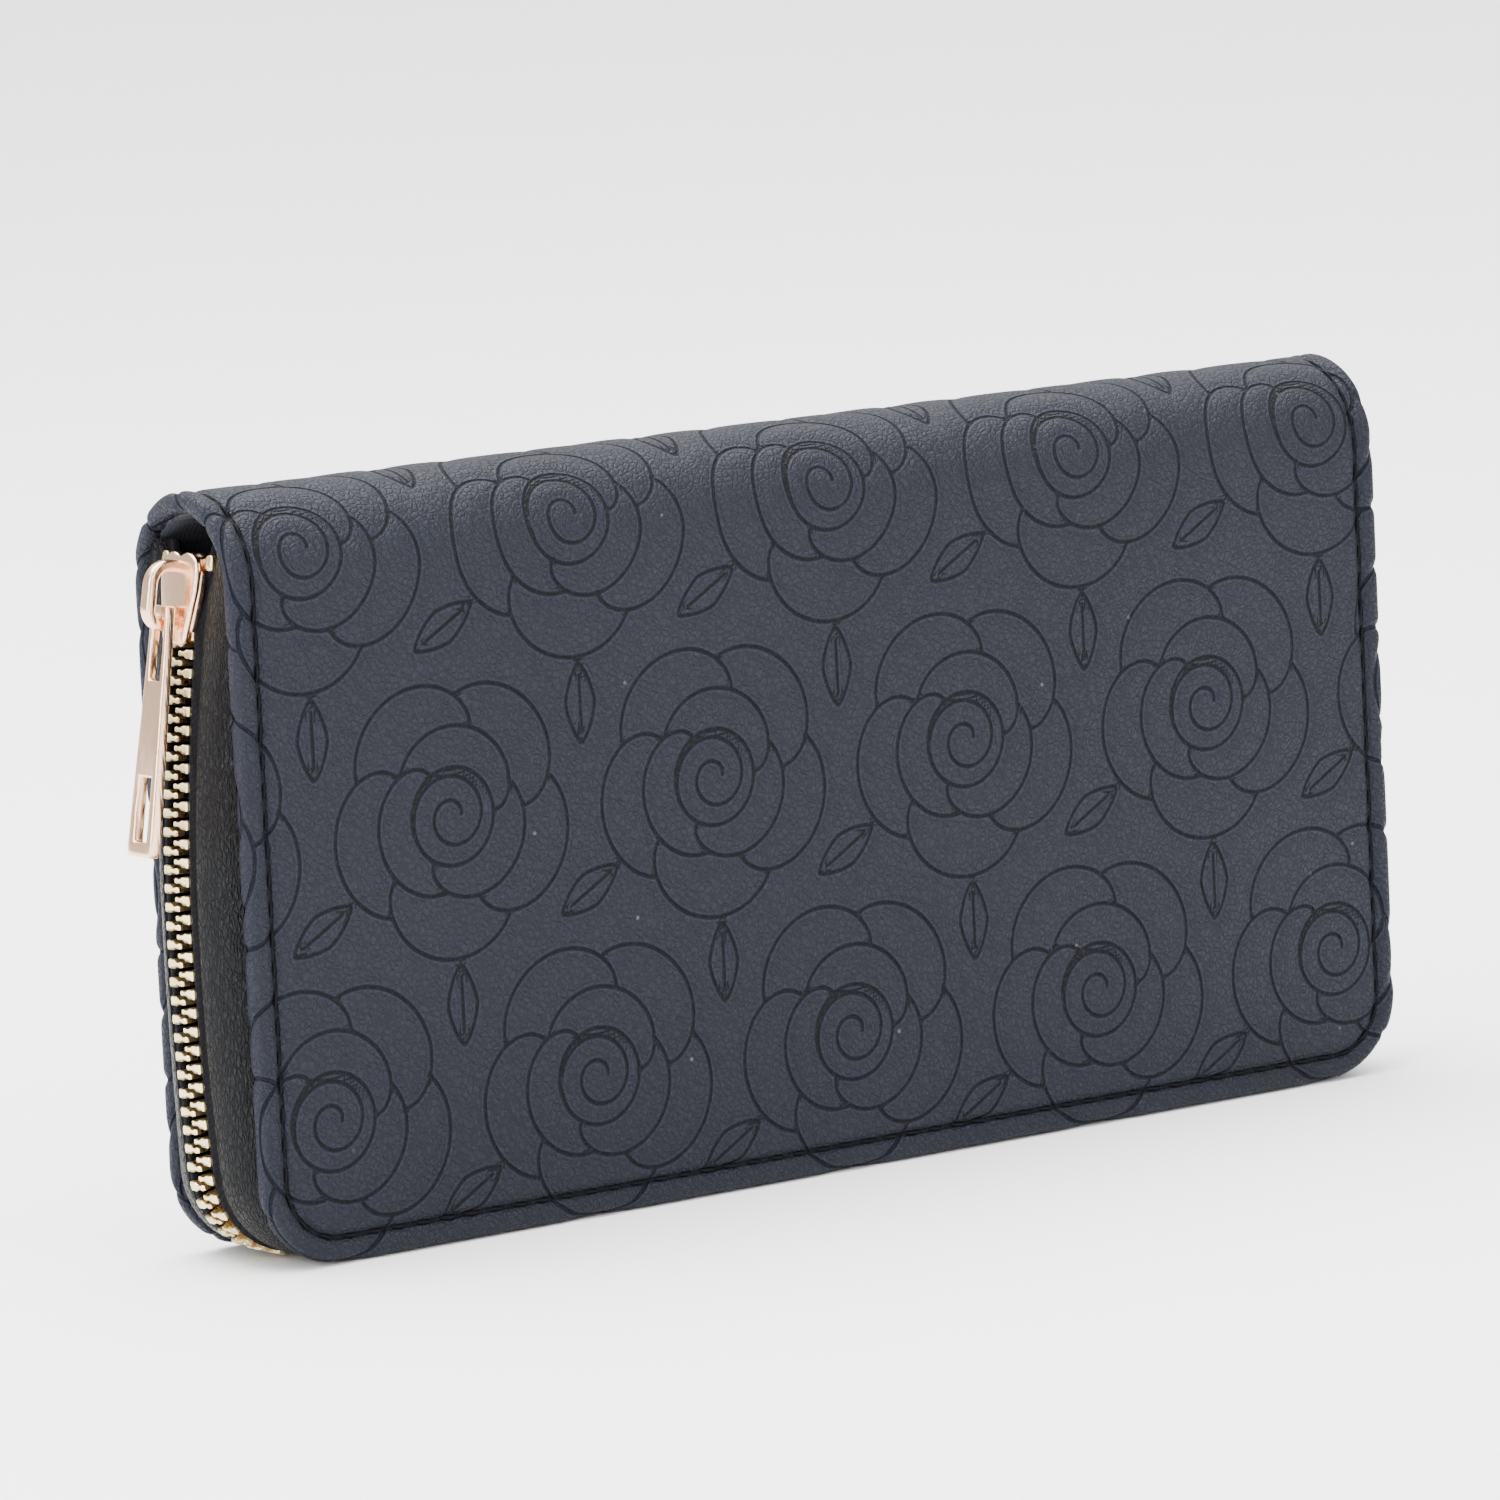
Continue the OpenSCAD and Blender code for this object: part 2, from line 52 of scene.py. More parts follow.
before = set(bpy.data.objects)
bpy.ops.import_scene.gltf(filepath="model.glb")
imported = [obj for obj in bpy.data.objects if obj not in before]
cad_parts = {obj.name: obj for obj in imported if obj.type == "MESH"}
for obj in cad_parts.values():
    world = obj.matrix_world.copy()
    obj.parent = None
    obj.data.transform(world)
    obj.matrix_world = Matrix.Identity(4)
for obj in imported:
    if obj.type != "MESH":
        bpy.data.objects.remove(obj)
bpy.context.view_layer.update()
MM = 0.001


def node_box(name):
    """Lowest and highest corner of a CAD node, in millimetres."""
    low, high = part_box(name)
    return np.array(low) / MM, np.array(high) / MM


# Sizes that come from the frame, in millimetres
COVER_LOW, COVER_HIGH = node_box("cover_front")
HALF_L = float(COVER_HIGH[0])
HEIGHT = float(COVER_HIGH[2])
HALF_D = -float(COVER_LOW[1]) / 2
MID_Y = -HALF_D
SPINE_Z = HEIGHT - HALF_D
ARC_V = math.pi * HALF_D
SHEET_V = 2 * SPINE_Z + ARC_V

# Sizes that the frame's boxes don't give, in millimetres, and the way each half lies from the middle plane
CORNER_R = 11.5
COVER_T = 2.7
JOIN_Z = 84.3
FLOWER_STEP = 42.0
FLOWER_ROW = 37.0
HALVES = {"front": -1, "back": 1}


def length(name, value, words):
    """A length property, whose default is given in millimetres."""
    return FloatProperty(name=name, description=words, default=value * MM, unit="LENGTH", precision=5)


def tint(name, value, words):
    """A colour property."""
    return FloatVectorProperty(
        name=name, description=words, default=value, subtype="COLOR", size=3, min=0, max=1
    )


class WalletLeather(bpy.types.PropertyGroup):
    """Sizes of the embossed outer leather and its stitching."""

    step: length("Mesh step", 0.46, "Distance between points of the leather's surface")
    roll: length("Edge roll", 1.25, "Radius of the leather's turn at the covers' edges")
    groove: length("Groove width", 0.46, "Width of the embossed lines")
    sink: length("Line sink", 0.16, "How far the leather sinks softly beside each line")
    dome: length("Petal rise", 0.10, "How far a petal rises between its lines")
    seam_inset: length("Seam inset", 3.4, "Distance from the edge to the line of stitching")
    seam_sink: length("Seam sink", 0.55, "Depth of the channel the stitches lie in")
    rim: length("Rim rise", 0.24, "How far the padded rim outside the seam stands up")
    notch: length("Rim notch", 0.32, "Depth of the creases where lines cross the rim")
    pitch: length("Stitch pitch", 3.8, "Distance from one stitch to the next")
    thread: length("Thread width", 0.5, "Width of a stitch")


class WalletZip(bpy.types.PropertyGroup):
    """Sizes of the main zip and the gussets it is sewn to."""

    pitch: length("Tooth pitch", 2.42, "Distance between teeth on one side")
    tooth: length("Tooth width", 1.22, "Width of a tooth's body along the zip")
    height: length("Tooth height", 2.3, "Height of a tooth through the tape")
    tape: length("Tape thickness", 0.5, "Thickness of the woven tape")
    puff: length("Gusset puff", 0.45, "How far the gusset bulges between the tape and the cover")
    puller: length("Puller length", 31.5, "Length of the puller from its eye to its end")


class WalletInside(bpy.types.PropertyGroup):
    """Sizes of the pockets and the coin leaf."""

    strip: length("Card strip thickness", 0.5, "Thickness of one card strip")
    hem: length("Mouth hem", 0.42, "Radius of the turned edge at a pocket's mouth")
    coil: length("Coil pitch", 1.2, "Distance between turns of the coin zip's coil")
    rows: IntProperty(name="Card strips", description="Card strips in each half", default=4, min=1, max=4)


class WalletFinish(bpy.types.PropertyGroup):
    """Colours of the wallet's materials."""

    leather: tint("Leather", (0.0062, 0.0068, 0.0122), "Outer leather")
    gusset: tint("Gusset", (0.0042, 0.0047, 0.0062), "Gusset leather")
    inner: tint("Inner leather", (0.022, 0.024, 0.032), "Leather of the pockets and the coin leaf")
    lining: tint("Lining", (0.016, 0.017, 0.024), "Woven lining")
    tape: tint("Zip tape", (0.0030, 0.0030, 0.0040), "Woven tape of both zips")
    thread: tint("Thread", (0.0022, 0.0022, 0.0028), "Sewing thread")
    teeth: tint("Zip metal", (0.86, 0.68, 0.38), "Teeth and stops")
    gold: tint("Rose gold", (0.95, 0.62, 0.42), "Slider, bail and puller")
    board: tint("Board", (0.30, 0.24, 0.17), "Stiffening board")
    foam: tint("Foam", (0.09, 0.09, 0.10), "Padding in the spine")
    floor: tint("Floor", (0.90, 0.90, 0.90), "Studio floor")


# ---------------------------------------------------------------- meshes


def piece(name, points, faces, material, body=None, stands_for=(), smooth=True, fields=None):
    """Makes a mesh piece from points in millimetres and lists of faces, and hangs it on its body.
    fields are named arrays kept on the points: numbers, or vectors of three."""
    mesh = bpy.data.meshes.new(name)
    mesh.from_pydata(
        (points * MM).tolist(), [], [list(f) for group in faces for f in np.asarray(group).tolist()]
    )
    mesh.polygons.foreach_set("use_smooth", np.full(len(mesh.polygons), smooth))
    for key, values in (fields or {}).items():
        wide = values.ndim == 2
        layer = mesh.attributes.new(key, "FLOAT_VECTOR" if wide else "FLOAT", "POINT")
        layer.data.foreach_set("vector" if wide else "value", values.astype(np.float32).ravel())
    mesh.materials.append(material)
    mesh.validate()
    mesh.update()
    made = bpy.data.objects.new(name, mesh)
    bpy.context.scene.collection.objects.link(made)
    if body:
        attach(made, body)
    if stands_for:
        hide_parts(*stands_for)
    return made


def grid(rows, cols, wrap_rows=False, wrap_cols=False, start=0):
    """Quads over a grid of points numbered row by row, closed round either way if asked."""
    r = np.arange(rows if wrap_rows else rows - 1)[:, None]
    c = np.arange(cols if wrap_cols else cols - 1)[None, :]
    r2, c2 = (r + 1) % rows, (c + 1) % cols
    quads = np.stack([r * cols + c, r * cols + c2, r2 * cols + c2, r2 * cols + c], -1)
    return quads.reshape(-1, 4) + start


def repeated(points, faces, count):
    """Face lists of one shape repeated: copy k's numbers are the shape's plus k times its points."""
    return [
        (np.asarray(f)[None] + (np.arange(count) * points)[:, None, None]).reshape(-1, np.shape(f)[1])
        for f in faces
    ]


def joined(*parts):
    """Several (points, face lists) as one: later faces are numbered on from the earlier points."""
    points, faces, start = [], [], 0
    for p, groups in parts:
        points.append(p)
        faces += [np.asarray(g) + start for g in groups]
        start += len(p)
    return np.concatenate(points), faces


def swept(centre, side, up, profile, loop=False, round_profile=True):
    """A profile carried along a path: point = centre + side * p0 + up * p1, with flat ends unless it is a
    loop. profile is one outline, or one outline for each place on the path."""
    profile = np.broadcast_to(profile, (len(centre),) + np.shape(profile)[-2:])
    rows, cols = profile.shape[:2]
    points = centre[:, None] + side[:, None] * profile[..., :1] + up[:, None] * profile[..., 1:]
    faces = [grid(rows, cols, loop, round_profile)]
    if round_profile and not loop:
        faces += [np.arange(cols)[None, ::-1], (rows - 1) * cols + np.arange(cols)[None]]
    return points.reshape(-1, 3), faces


def turned_out(points, faces):
    """Flips the faces if the volume they close is negative, so that they point outwards."""
    volume = 0.0
    for group in faces:
        f = np.asarray(group)
        for k in range(1, f.shape[1] - 1):
            a, b, c = points[f[:, 0]], points[f[:, k]], points[f[:, k + 1]]
            volume += np.einsum("ij,ij->i", a, np.cross(b, c)).sum()
    return points, ([np.asarray(g)[:, ::-1] for g in faces] if volume < 0 else faces)


def rounded_box_outline(width, height, radius, steps=4):
    """Outline of a rectangle whose corners are quarter circles, counterclockwise from the right side's low
    end."""
    turn = np.linspace(0, math.pi / 2, steps + 1)
    quarters = [turn + math.pi / 2 * k for k in (-1, 0, 1, 2)]
    cx = np.array([1, 1, -1, -1]) * (width / 2 - radius)
    cy = np.array([-1, 1, 1, -1]) * (height / 2 - radius)
    return np.concatenate(
        [np.stack([x + radius * np.cos(q), y + radius * np.sin(q)], 1) for x, y, q in zip(cx, cy, quarters)]
    )


def plate(outline, low, high, bevel, steps=3, dome=0.0):
    """A closed plate: the outline is drawn in by the quarter circle of a bevel at both faces, and each face
    is closed on its middle point, which stands out by dome. The outline lies in the first two axes."""
    turn = np.linspace(0, math.pi / 2, steps + 1)
    inset = np.concatenate([bevel * (1 - np.sin(turn)), bevel * (1 - np.cos(turn))])
    level = np.concatenate([low + bevel * (1 - np.cos(turn)), high - bevel * (1 - np.sin(turn))])
    edge = np.roll(outline, -1, 0) - np.roll(outline, 1, 0)
    edge /= np.linalg.norm(edge, axis=1)[:, None]
    inward = np.stack([-edge[:, 1], edge[:, 0]], 1)
    rings = outline[None] + inward[None] * inset[:, None, None]
    middle = outline.mean(0)
    half = middle + (rings[-1] - middle) * 0.6
    levels = [*level, high + dome * 0.7]
    rings = np.concatenate([rings, half[None]])
    points = np.concatenate(
        [rings, np.broadcast_to(np.array(levels)[:, None, None], rings.shape[:2] + (1,))], 2
    )
    cols, rows = len(outline), len(rings)
    points = np.concatenate([points.reshape(-1, 3), [[*middle, low], [*middle, high + dome]]])
    around = np.arange(cols)
    following = (around + 1) % cols
    low_cap = np.stack([following, around, np.full(cols, rows * cols)], 1)
    last = (rows - 1) * cols
    high_cap = np.stack([last + around, last + following, np.full(cols, rows * cols + 1)], 1)
    return points, [grid(rows, cols, False, True), low_cap, high_cap]


# ---------------------------------------------------------------- the leather sheet


def wrap(x, v, depth):
    """Lays the flat sheet round the wallet. v runs up the front face, half a turn over the spine and down
    the back: turn = (v - face) / radius, y = middle - (radius - depth) cos turn, z = face + (radius -
    depth) sin turn."""
    turn = np.clip((v - SPINE_Z) / HALF_D, 0, math.pi)
    r = HALF_D - depth
    straight = np.minimum(v - SPINE_Z, 0) - np.maximum(v - SPINE_Z - ARC_V, 0)
    return np.stack([x + 0 * r, MID_Y - r * np.cos(turn), SPINE_Z + r * np.sin(turn) + straight], -1)


def end_distance(v):
    """Distance up either face from the sheet's nearer lower edge."""
    return np.minimum(v, SHEET_V - v)


def half_width(v, inset):
    """Half the sheet's width at v, inset from its edge: straight, then a quarter circle at each lower
    corner."""
    drop = np.clip(CORNER_R - end_distance(v), 0, CORNER_R - inset)
    r = CORNER_R - inset
    return HALF_L - CORNER_R + np.sqrt(np.maximum(r * r - drop * drop, 0))


def edge_field(x, v):
    """Signed distance to the sheet's rounded outline, below zero inside it."""
    qx = np.abs(x) - (HALF_L - CORNER_R)
    qv = CORNER_R - end_distance(v)
    return np.hypot(np.maximum(qx, 0), np.maximum(qv, 0)) + np.minimum(np.maximum(qx, qv), 0) - CORNER_R


def outline_normal(x, v):
    """Direction out of the rounded outline in the sheet's own plane."""
    qx = np.maximum(np.abs(x) - (HALF_L - CORNER_R), 0)
    qv = np.maximum(CORNER_R - end_distance(v), 0)
    size = np.maximum(np.hypot(qx, qv), 1e-9)
    return np.sign(x) * qx / size, np.where(v < SHEET_V / 2, -1, 1) * qv / size


def whorl_radius(angle, count, base, swell, span):
    """The outline of a ring of overlapping petals, the widest petal at each angle in degrees. Petal k of
    count begins at k 360 / count and reaches r = base + swell sin(pi u)^0.5, with u from 0 to 1 over span
    degrees."""
    u = np.mod(angle[:, None] - 360 / count * np.arange(count), 360) / span
    return (base + swell * np.sqrt(np.sin(math.pi * np.clip(u, 0, 1)))).max(1)


def whorl(count, base, swell, span, inner=None):
    """The petals' edges as lines. Each stops where the next petal crosses it, at u = (1 + 360 / (count
    span)) / 2, and begins where it comes out from under the inner ring."""
    u = (1 + 360 / count / span) / 2 * np.linspace(0, 1, 400) ** 2
    r = base + swell * np.sqrt(np.sin(math.pi * u))
    lines = []
    for first in 360 / count * np.arange(count):
        angle = first + span * u
        shown = r > whorl_radius(angle, *inner) if inner else r > 0
        turn = np.radians(angle[shown])
        lines.append(np.stack([r[shown] * np.cos(turn), r[shown] * np.sin(turn)], 1))
    return lines


def leaf(x, v, long, wide, lean):
    """A pointed leaf |a/long|^1.4 + |b/wide|^1.4 = 1 and its straight midrib, leaning by lean degrees."""
    t = np.linspace(0, 2 * math.pi, 400)
    a = long * np.sign(np.cos(t)) * np.abs(np.cos(t)) ** (2 / 1.4)
    b = wide * np.sign(np.sin(t)) * np.abs(np.sin(t)) ** (2 / 1.4)
    rib = np.linspace(-0.7, 0.7, 90) * long
    c, s = math.cos(math.radians(lean)), math.sin(math.radians(lean))
    edge = np.stack([x + a * c - b * s, v + a * s + b * c], 1)
    return [edge, np.stack([x + rib * c, v + rib * s], 1)]


def flower_lines():
    """The lines of one embossed flower round its own middle: a bud coiled as r = 1.3 + 5.1 t over 1.6 turns
    inside a circle, a ring of three petals, a ring of five, and two leaves in the gaps between neighbouring
    flowers."""
    t = np.linspace(0, 1, 400)
    bud, coil, coil_r = 2 * math.pi * t, 3.2 * math.pi * t, 1.3 + 5.1 * t
    ring = (3, 6.4, 5.4, 165)
    lines = [
        6.4 * np.stack([np.cos(bud), np.sin(bud)], 1),
        coil_r[:, None] * np.stack([np.cos(coil), np.sin(coil)], 1),
    ]
    lines += whorl(*ring) + whorl(5, 10.4, 8.2, 100, ring)
    for high, lean in ((FLOWER_ROW / 3, 90), (-FLOWER_ROW / 3, 30)):
        lines += leaf(FLOWER_STEP / 2, high, 5.2, 2.3, lean)
    return lines


class LineField:
    """Finds the nearest point of the embossed lines for any point of the sheet. Samples of the lines seed
    the cells they fall in, and the seeds spread by jump flooding: at each step a cell looks 16, 8, 4, 2 and
    1 cells away all round and keeps the nearer seed."""

    cell = 0.25

    def __init__(self):
        motif = flower_lines()
        across, up = np.array([FLOWER_STEP, 0.0]), np.array([FLOWER_STEP / 2, FLOWER_ROW])
        first = np.array([0.0, FLOWER_ROW / 2])
        margin = 30
        low, high = np.array([-HALF_L - 8, -8.0]), np.array([HALF_L + 8, SHEET_V + 8])
        places = [first + i * across + j * up for i in range(-6, 7) for j in range(-4, 7)]
        places = [p for p in places if np.all(p > low - margin) and np.all(p < high + margin)]
        samples = np.concatenate([line + place for place in places for line in motif])
        tangents = np.concatenate([np.gradient(line, axis=0) for line in motif])
        tangents /= np.maximum(np.linalg.norm(tangents, axis=1), 1e-9)[:, None]
        tangents = np.tile(tangents, (len(places), 1))
        inside = np.all((samples > low) & (samples < high), axis=1)
        self.samples, self.tangents, self.low = samples[inside], tangents[inside], low
        shape = np.ceil((high - low) / self.cell).astype(int)
        at = ((self.samples - low) / self.cell).astype(int)
        seed = np.full(shape, -1)
        seed[at[:, 0], at[:, 1]] = np.arange(len(at))
        ci, cj = np.meshgrid(*[np.arange(n) for n in shape], indexing="ij")
        centres = low + (np.stack([ci, cj], -1) + 0.5) * self.cell
        best = self.gap(centres, seed)
        for reach in (16, 8, 4, 2, 1, 1):
            for di, dj in [(a, b) for a in (-reach, 0, reach) for b in (-reach, 0, reach) if a or b]:
                other = np.roll(seed, (di, dj), (0, 1))
                far = self.gap(centres, other)
                seed = np.where(far < best, other, seed)
                best = np.minimum(far, best)
        self.seed = seed

    def gap(self, at, seed):
        """Distance from each place to its seed, or a large number where there is none yet."""
        return np.where(seed < 0, 1e6, np.linalg.norm(self.samples[seed] - at, axis=-1))

    def nearest(self, x, v):
        """Vector to the nearest line and its length, from the best of the four cells round each point."""
        at = np.stack([x, v], -1)
        base = np.floor((at - self.low) / self.cell - 0.5).astype(int)
        top = np.array(self.seed.shape) - 1
        best, vector = np.full(x.shape, 1e6), np.zeros(at.shape)
        for step in ((0, 0), (0, 1), (1, 0), (1, 1)):
            ij = np.clip(base + step, 0, top)
            seed = self.seed[ij[..., 0], ij[..., 1]]
            way = self.samples[seed] - at
            along = (way * self.tangents[seed]).sum(-1, keepdims=True)
            way = np.where(np.abs(along) < 0.35, way - along * self.tangents[seed], way)
            far = np.linalg.norm(way, axis=-1)
            vector = np.where((far < best)[..., None], way, vector)
            best = np.minimum(far, best)
        return vector, best


def leather_relief(x, v, edge, sizes, field):
    """Height of the leather over its plain surface, and the field kept for the embossed lines: -sink
    exp(-(d/0.85)^2) + dome (1 - exp(-(d/2.4)^2)) inside the seam - seam exp(-((edge + inset)/0.62)^2) + rim
    exp(-((edge + inset/2 - 0.3)/1.15)^2) - notch exp(-(d/0.55)^2) outside the seam, d to the nearest
    line."""
    vector, d = field.nearest(x, v)
    inset = sizes.seam_inset / MM
    channel = np.exp(-(((edge + inset) / 0.62) ** 2))
    rim = np.exp(-(((edge + inset / 2 - 0.3) / 1.15) ** 2))
    crossing = np.exp(-((d / 0.55) ** 2)) * np.clip((edge + inset) / 0.8, 0, 1)
    height = (
        -sizes.sink / MM * np.exp(-((d / 0.85) ** 2))
        + sizes.dome / MM * (1 - np.exp(-((d / 2.4) ** 2))) * np.clip((-edge - inset) / 0.8, 0, 1)
        - sizes.seam_sink / MM * channel
        + sizes.rim / MM * rim
        - sizes.notch / MM * crossing
    )
    return height, np.concatenate([vector, d[..., None]], -1)


def rolled_edge(e, roll, thick, tuck):
    """Profile of a turned edge by length e along it: a quarter circle, a short flat, a quarter circle, then
    the hem inside, which sinks by tuck at its end. Gives the way out, the depth and the normal's two
    parts."""
    quarter, flat = roll * math.pi / 2, thick - 2 * roll
    first = np.clip(e / roll, 0, math.pi / 2)
    down = np.clip(e - quarter, 0, flat)
    second = np.clip((e - quarter - flat) / roll, 0, math.pi / 2)
    hem = np.maximum(e - 2 * quarter - flat, 0)
    out = roll * np.sin(first) - roll * (1 - np.cos(second)) - hem
    depth = roll * (1 - np.cos(first)) + down + roll * np.sin(second)
    end = hem / max(hem.max(), 1e-9)
    depth = depth - tuck * np.clip(end * 3 - 2, 0, 1)
    angle = first + second
    return out, depth, np.sin(angle), -np.cos(angle)


def sheet_rows(low, high, inset, step):
    """Rows of the sheet from low to high: even steps, and equal angles round the lower corners."""
    r = CORNER_R - inset
    count = max(round(r * math.pi / 2 / step), 2)
    curved = CORNER_R - r * np.cos(np.linspace(0, math.pi / 2, count + 1))
    straight_low = CORNER_R if low < CORNER_R else low
    straight_high = SHEET_V - CORNER_R if high > SHEET_V - CORNER_R else high
    even = np.linspace(straight_low, straight_high, max(round((straight_high - straight_low) / step), 1) + 1)
    rows = [even]
    if low < CORNER_R:
        rows.insert(0, curved[:-1])
    if high > SHEET_V - CORNER_R:
        rows.append(SHEET_V - curved[:-1][::-1])
    return np.concatenate(rows)


def sheet(low, high, margin, roll, thick, hem, step, depth=0.0, side=1, tuck=0.5, relief=None):
    """One stretch of the sheet with its turned edges: a grid over the outline drawn in by margin + roll,
    and a strip that leaves the grid's free edges square and follows the rolled profile. side 1 faces
    outwards from depth, and -1 faces the inside of the wallet."""
    rows = sheet_rows(low, high, margin + roll, step)
    cols = round(2 * (HALF_L - margin - roll) / step) + 1
    x = np.linspace(-1, 1, cols)[None, :] * half_width(rows, margin + roll)[:, None]
    v = np.broadcast_to(rows[:, None], x.shape)
    index = np.arange(x.size).reshape(x.shape)
    left, right = index[:, 0], index[:, -1]
    if low < CORNER_R:
        paths = [np.concatenate([left[::-1], index[0, 1:-1], right])]
    elif high > SHEET_V - CORNER_R:
        paths = [np.concatenate([right, index[-1, 1:-1][::-1], left[::-1]])]
    else:
        paths = [left[::-1], right]
    total = roll * math.pi + thick - 2 * roll + hem
    count = max(round(total / (0.75 * step)), 6)
    e = np.linspace(0, total, count + 1)[1:]
    out, down, n_out, n_down = rolled_edge(e, roll, thick, tuck)
    flat = np.zeros(x.size)
    xs, vs, along_x, along_v = [x.ravel()], [v.ravel()], [x.ravel()], [v.ravel()]
    ds, nx, nv, nd = [flat], [flat], [flat], [flat - 1]
    faces, start = [grid(len(rows), cols)], x.size
    for path in paths:
        bx, bv = x.ravel()[path], v.ravel()[path]
        ox, ov = outline_normal(bx, bv)
        for store, value in (
            (xs, bx[None] + out[:, None] * ox), (vs, bv[None] + out[:, None] * ov),
            (along_x, bx[None] + e[:, None] * ox), (along_v, bv[None] + e[:, None] * ov),
            (ds, down[:, None] + 0 * bx), (nx, n_out[:, None] * ox), (nv, n_out[:, None] * ov),
            (nd, n_down[:, None] + 0 * bx),
        ):
            store.append(value.ravel())
        ring = np.concatenate([path[None], start + np.arange(len(e) * len(path)).reshape(len(e), len(path))])
        a, b = ring[1:, :-1], ring[1:, 1:]
        faces.append(np.stack([a, b, ring[:-1, 1:], ring[:-1, :-1]], -1).reshape(-1, 4))
        start += len(e) * len(path)
    xs, vs, ds, nx, nv, nd, along_x, along_v = (
        np.concatenate(a) for a in (xs, vs, ds, nx, nv, nd, along_x, along_v)
    )
    edge = np.concatenate([edge_field(x.ravel(), v.ravel())] + [np.repeat(e - roll, len(p)) for p in paths])
    fields = {"edge": edge}
    if relief:
        height, fields["line"] = relief(along_x, along_v, edge)
        height = height * np.clip((5.2 - edge) / 1.2, 0, 1)
        xs, vs, ds = xs + nx * height, vs + nv * height, ds + nd * height
    points = wrap(xs, vs, depth + side * ds)
    if side < 0:
        faces = [f[:, ::-1] for f in faces]
    return points, faces, fields


def loop_places(inset, pitch):
    """Places every pitch round the sheet's outline drawn in by inset: x, v, and the way along."""
    r = CORNER_R - inset
    turn = np.linspace(0, math.pi / 2, 60)
    corners = []
    for cx, cv, first in (
        (HALF_L - CORNER_R, CORNER_R, -0.5), (HALF_L - CORNER_R, SHEET_V - CORNER_R, 0.0),
        (CORNER_R - HALF_L, SHEET_V - CORNER_R, 0.5), (CORNER_R - HALF_L, CORNER_R, 1.0),
    ):
        angle = turn + first * math.pi
        corners.append(np.stack([cx + r * np.cos(angle), cv + r * np.sin(angle)], 1))
    line = np.concatenate(corners + [corners[0][:1]])
    run = np.concatenate([[0], np.cumsum(np.linalg.norm(np.diff(line, axis=0), axis=1))])
    count = round(run[-1] / pitch)
    at = (np.arange(count) + 0.5) * run[-1] / count
    here = np.stack([np.interp(at, run, line[:, k]) for k in (0, 1)], 1)
    ahead = np.stack([np.interp(at + 0.05, run, line[:, k]) for k in (0, 1)], 1)
    way = ahead - here
    return here, way / np.linalg.norm(way, axis=1)[:, None]


# ---------------------------------------------------------------- materials


def put(tree, kind, values=None, **settings):
    """Adds a node: settings are its own options, and each value is a number, a colour or a socket to link."""
    made = tree.nodes.new(kind)
    for key, value in settings.items():
        setattr(made, key, value)
    for key, value in (values or {}).items():
        if isinstance(value, bpy.types.NodeSocket):
            tree.links.new(value, made.inputs[key])
        else:
            made.inputs[key].default_value = value
    return made


def sums(tree, operation, a, b=None, c=None):
    """A Math node's result."""
    values = {k: v for k, v in enumerate((a, b, c)) if v is not None}
    return put(tree, "ShaderNodeMath", values, operation=operation).outputs[0]


def ranged(tree, value, low, high, to_low=0.0, to_high=1.0, smooth=True):
    """The value eased from one range into another."""
    kind = "SMOOTHSTEP" if smooth else "LINEAR"
    values = {"Value": value, "From Min": low, "From Max": high, "To Min": to_low, "To Max": to_high}
    return put(tree, "ShaderNodeMapRange", values, interpolation_type=kind).outputs[0]


def mixed(tree, factor, a, b, blend="MIX"):
    """Two colours mixed by a factor."""
    made = put(tree, "ShaderNodeMix", {0: factor, 6: a, 7: b}, data_type="RGBA", blend_type=blend)
    return made.outputs[2]


def group(name, inputs, outputs, build):
    """A shader node group, built once. build gets the tree and the input sockets and returns the output
    sockets."""
    if name in bpy.data.node_groups:
        return bpy.data.node_groups[name]
    tree = bpy.data.node_groups.new(name, "ShaderNodeTree")
    for key, (kind, default) in inputs.items():
        socket = tree.interface.new_socket(key, in_out="INPUT", socket_type=kind)
        if default is not None:
            socket.default_value = default
    for key, kind in outputs.items():
        tree.interface.new_socket(key, in_out="OUTPUT", socket_type=kind)
    source, sink = tree.nodes.new("NodeGroupInput"), tree.nodes.new("NodeGroupOutput")
    for key, socket in build(tree, source.outputs).items():
        tree.links.new(socket, sink.inputs[key])
    return tree


NUMBER, VECTOR = "NodeSocketFloat", "NodeSocketVector"


def placed(tree, made, values):
    """A group node in a material, with its values set or linked."""
    node = tree.nodes.new("ShaderNodeGroup")
    node.node_tree = made
    for key, value in values.items():
        if isinstance(value, bpy.types.NodeSocket):
            tree.links.new(value, node.inputs[key])
        else:
            node.inputs[key].default_value = value
    return node.outputs


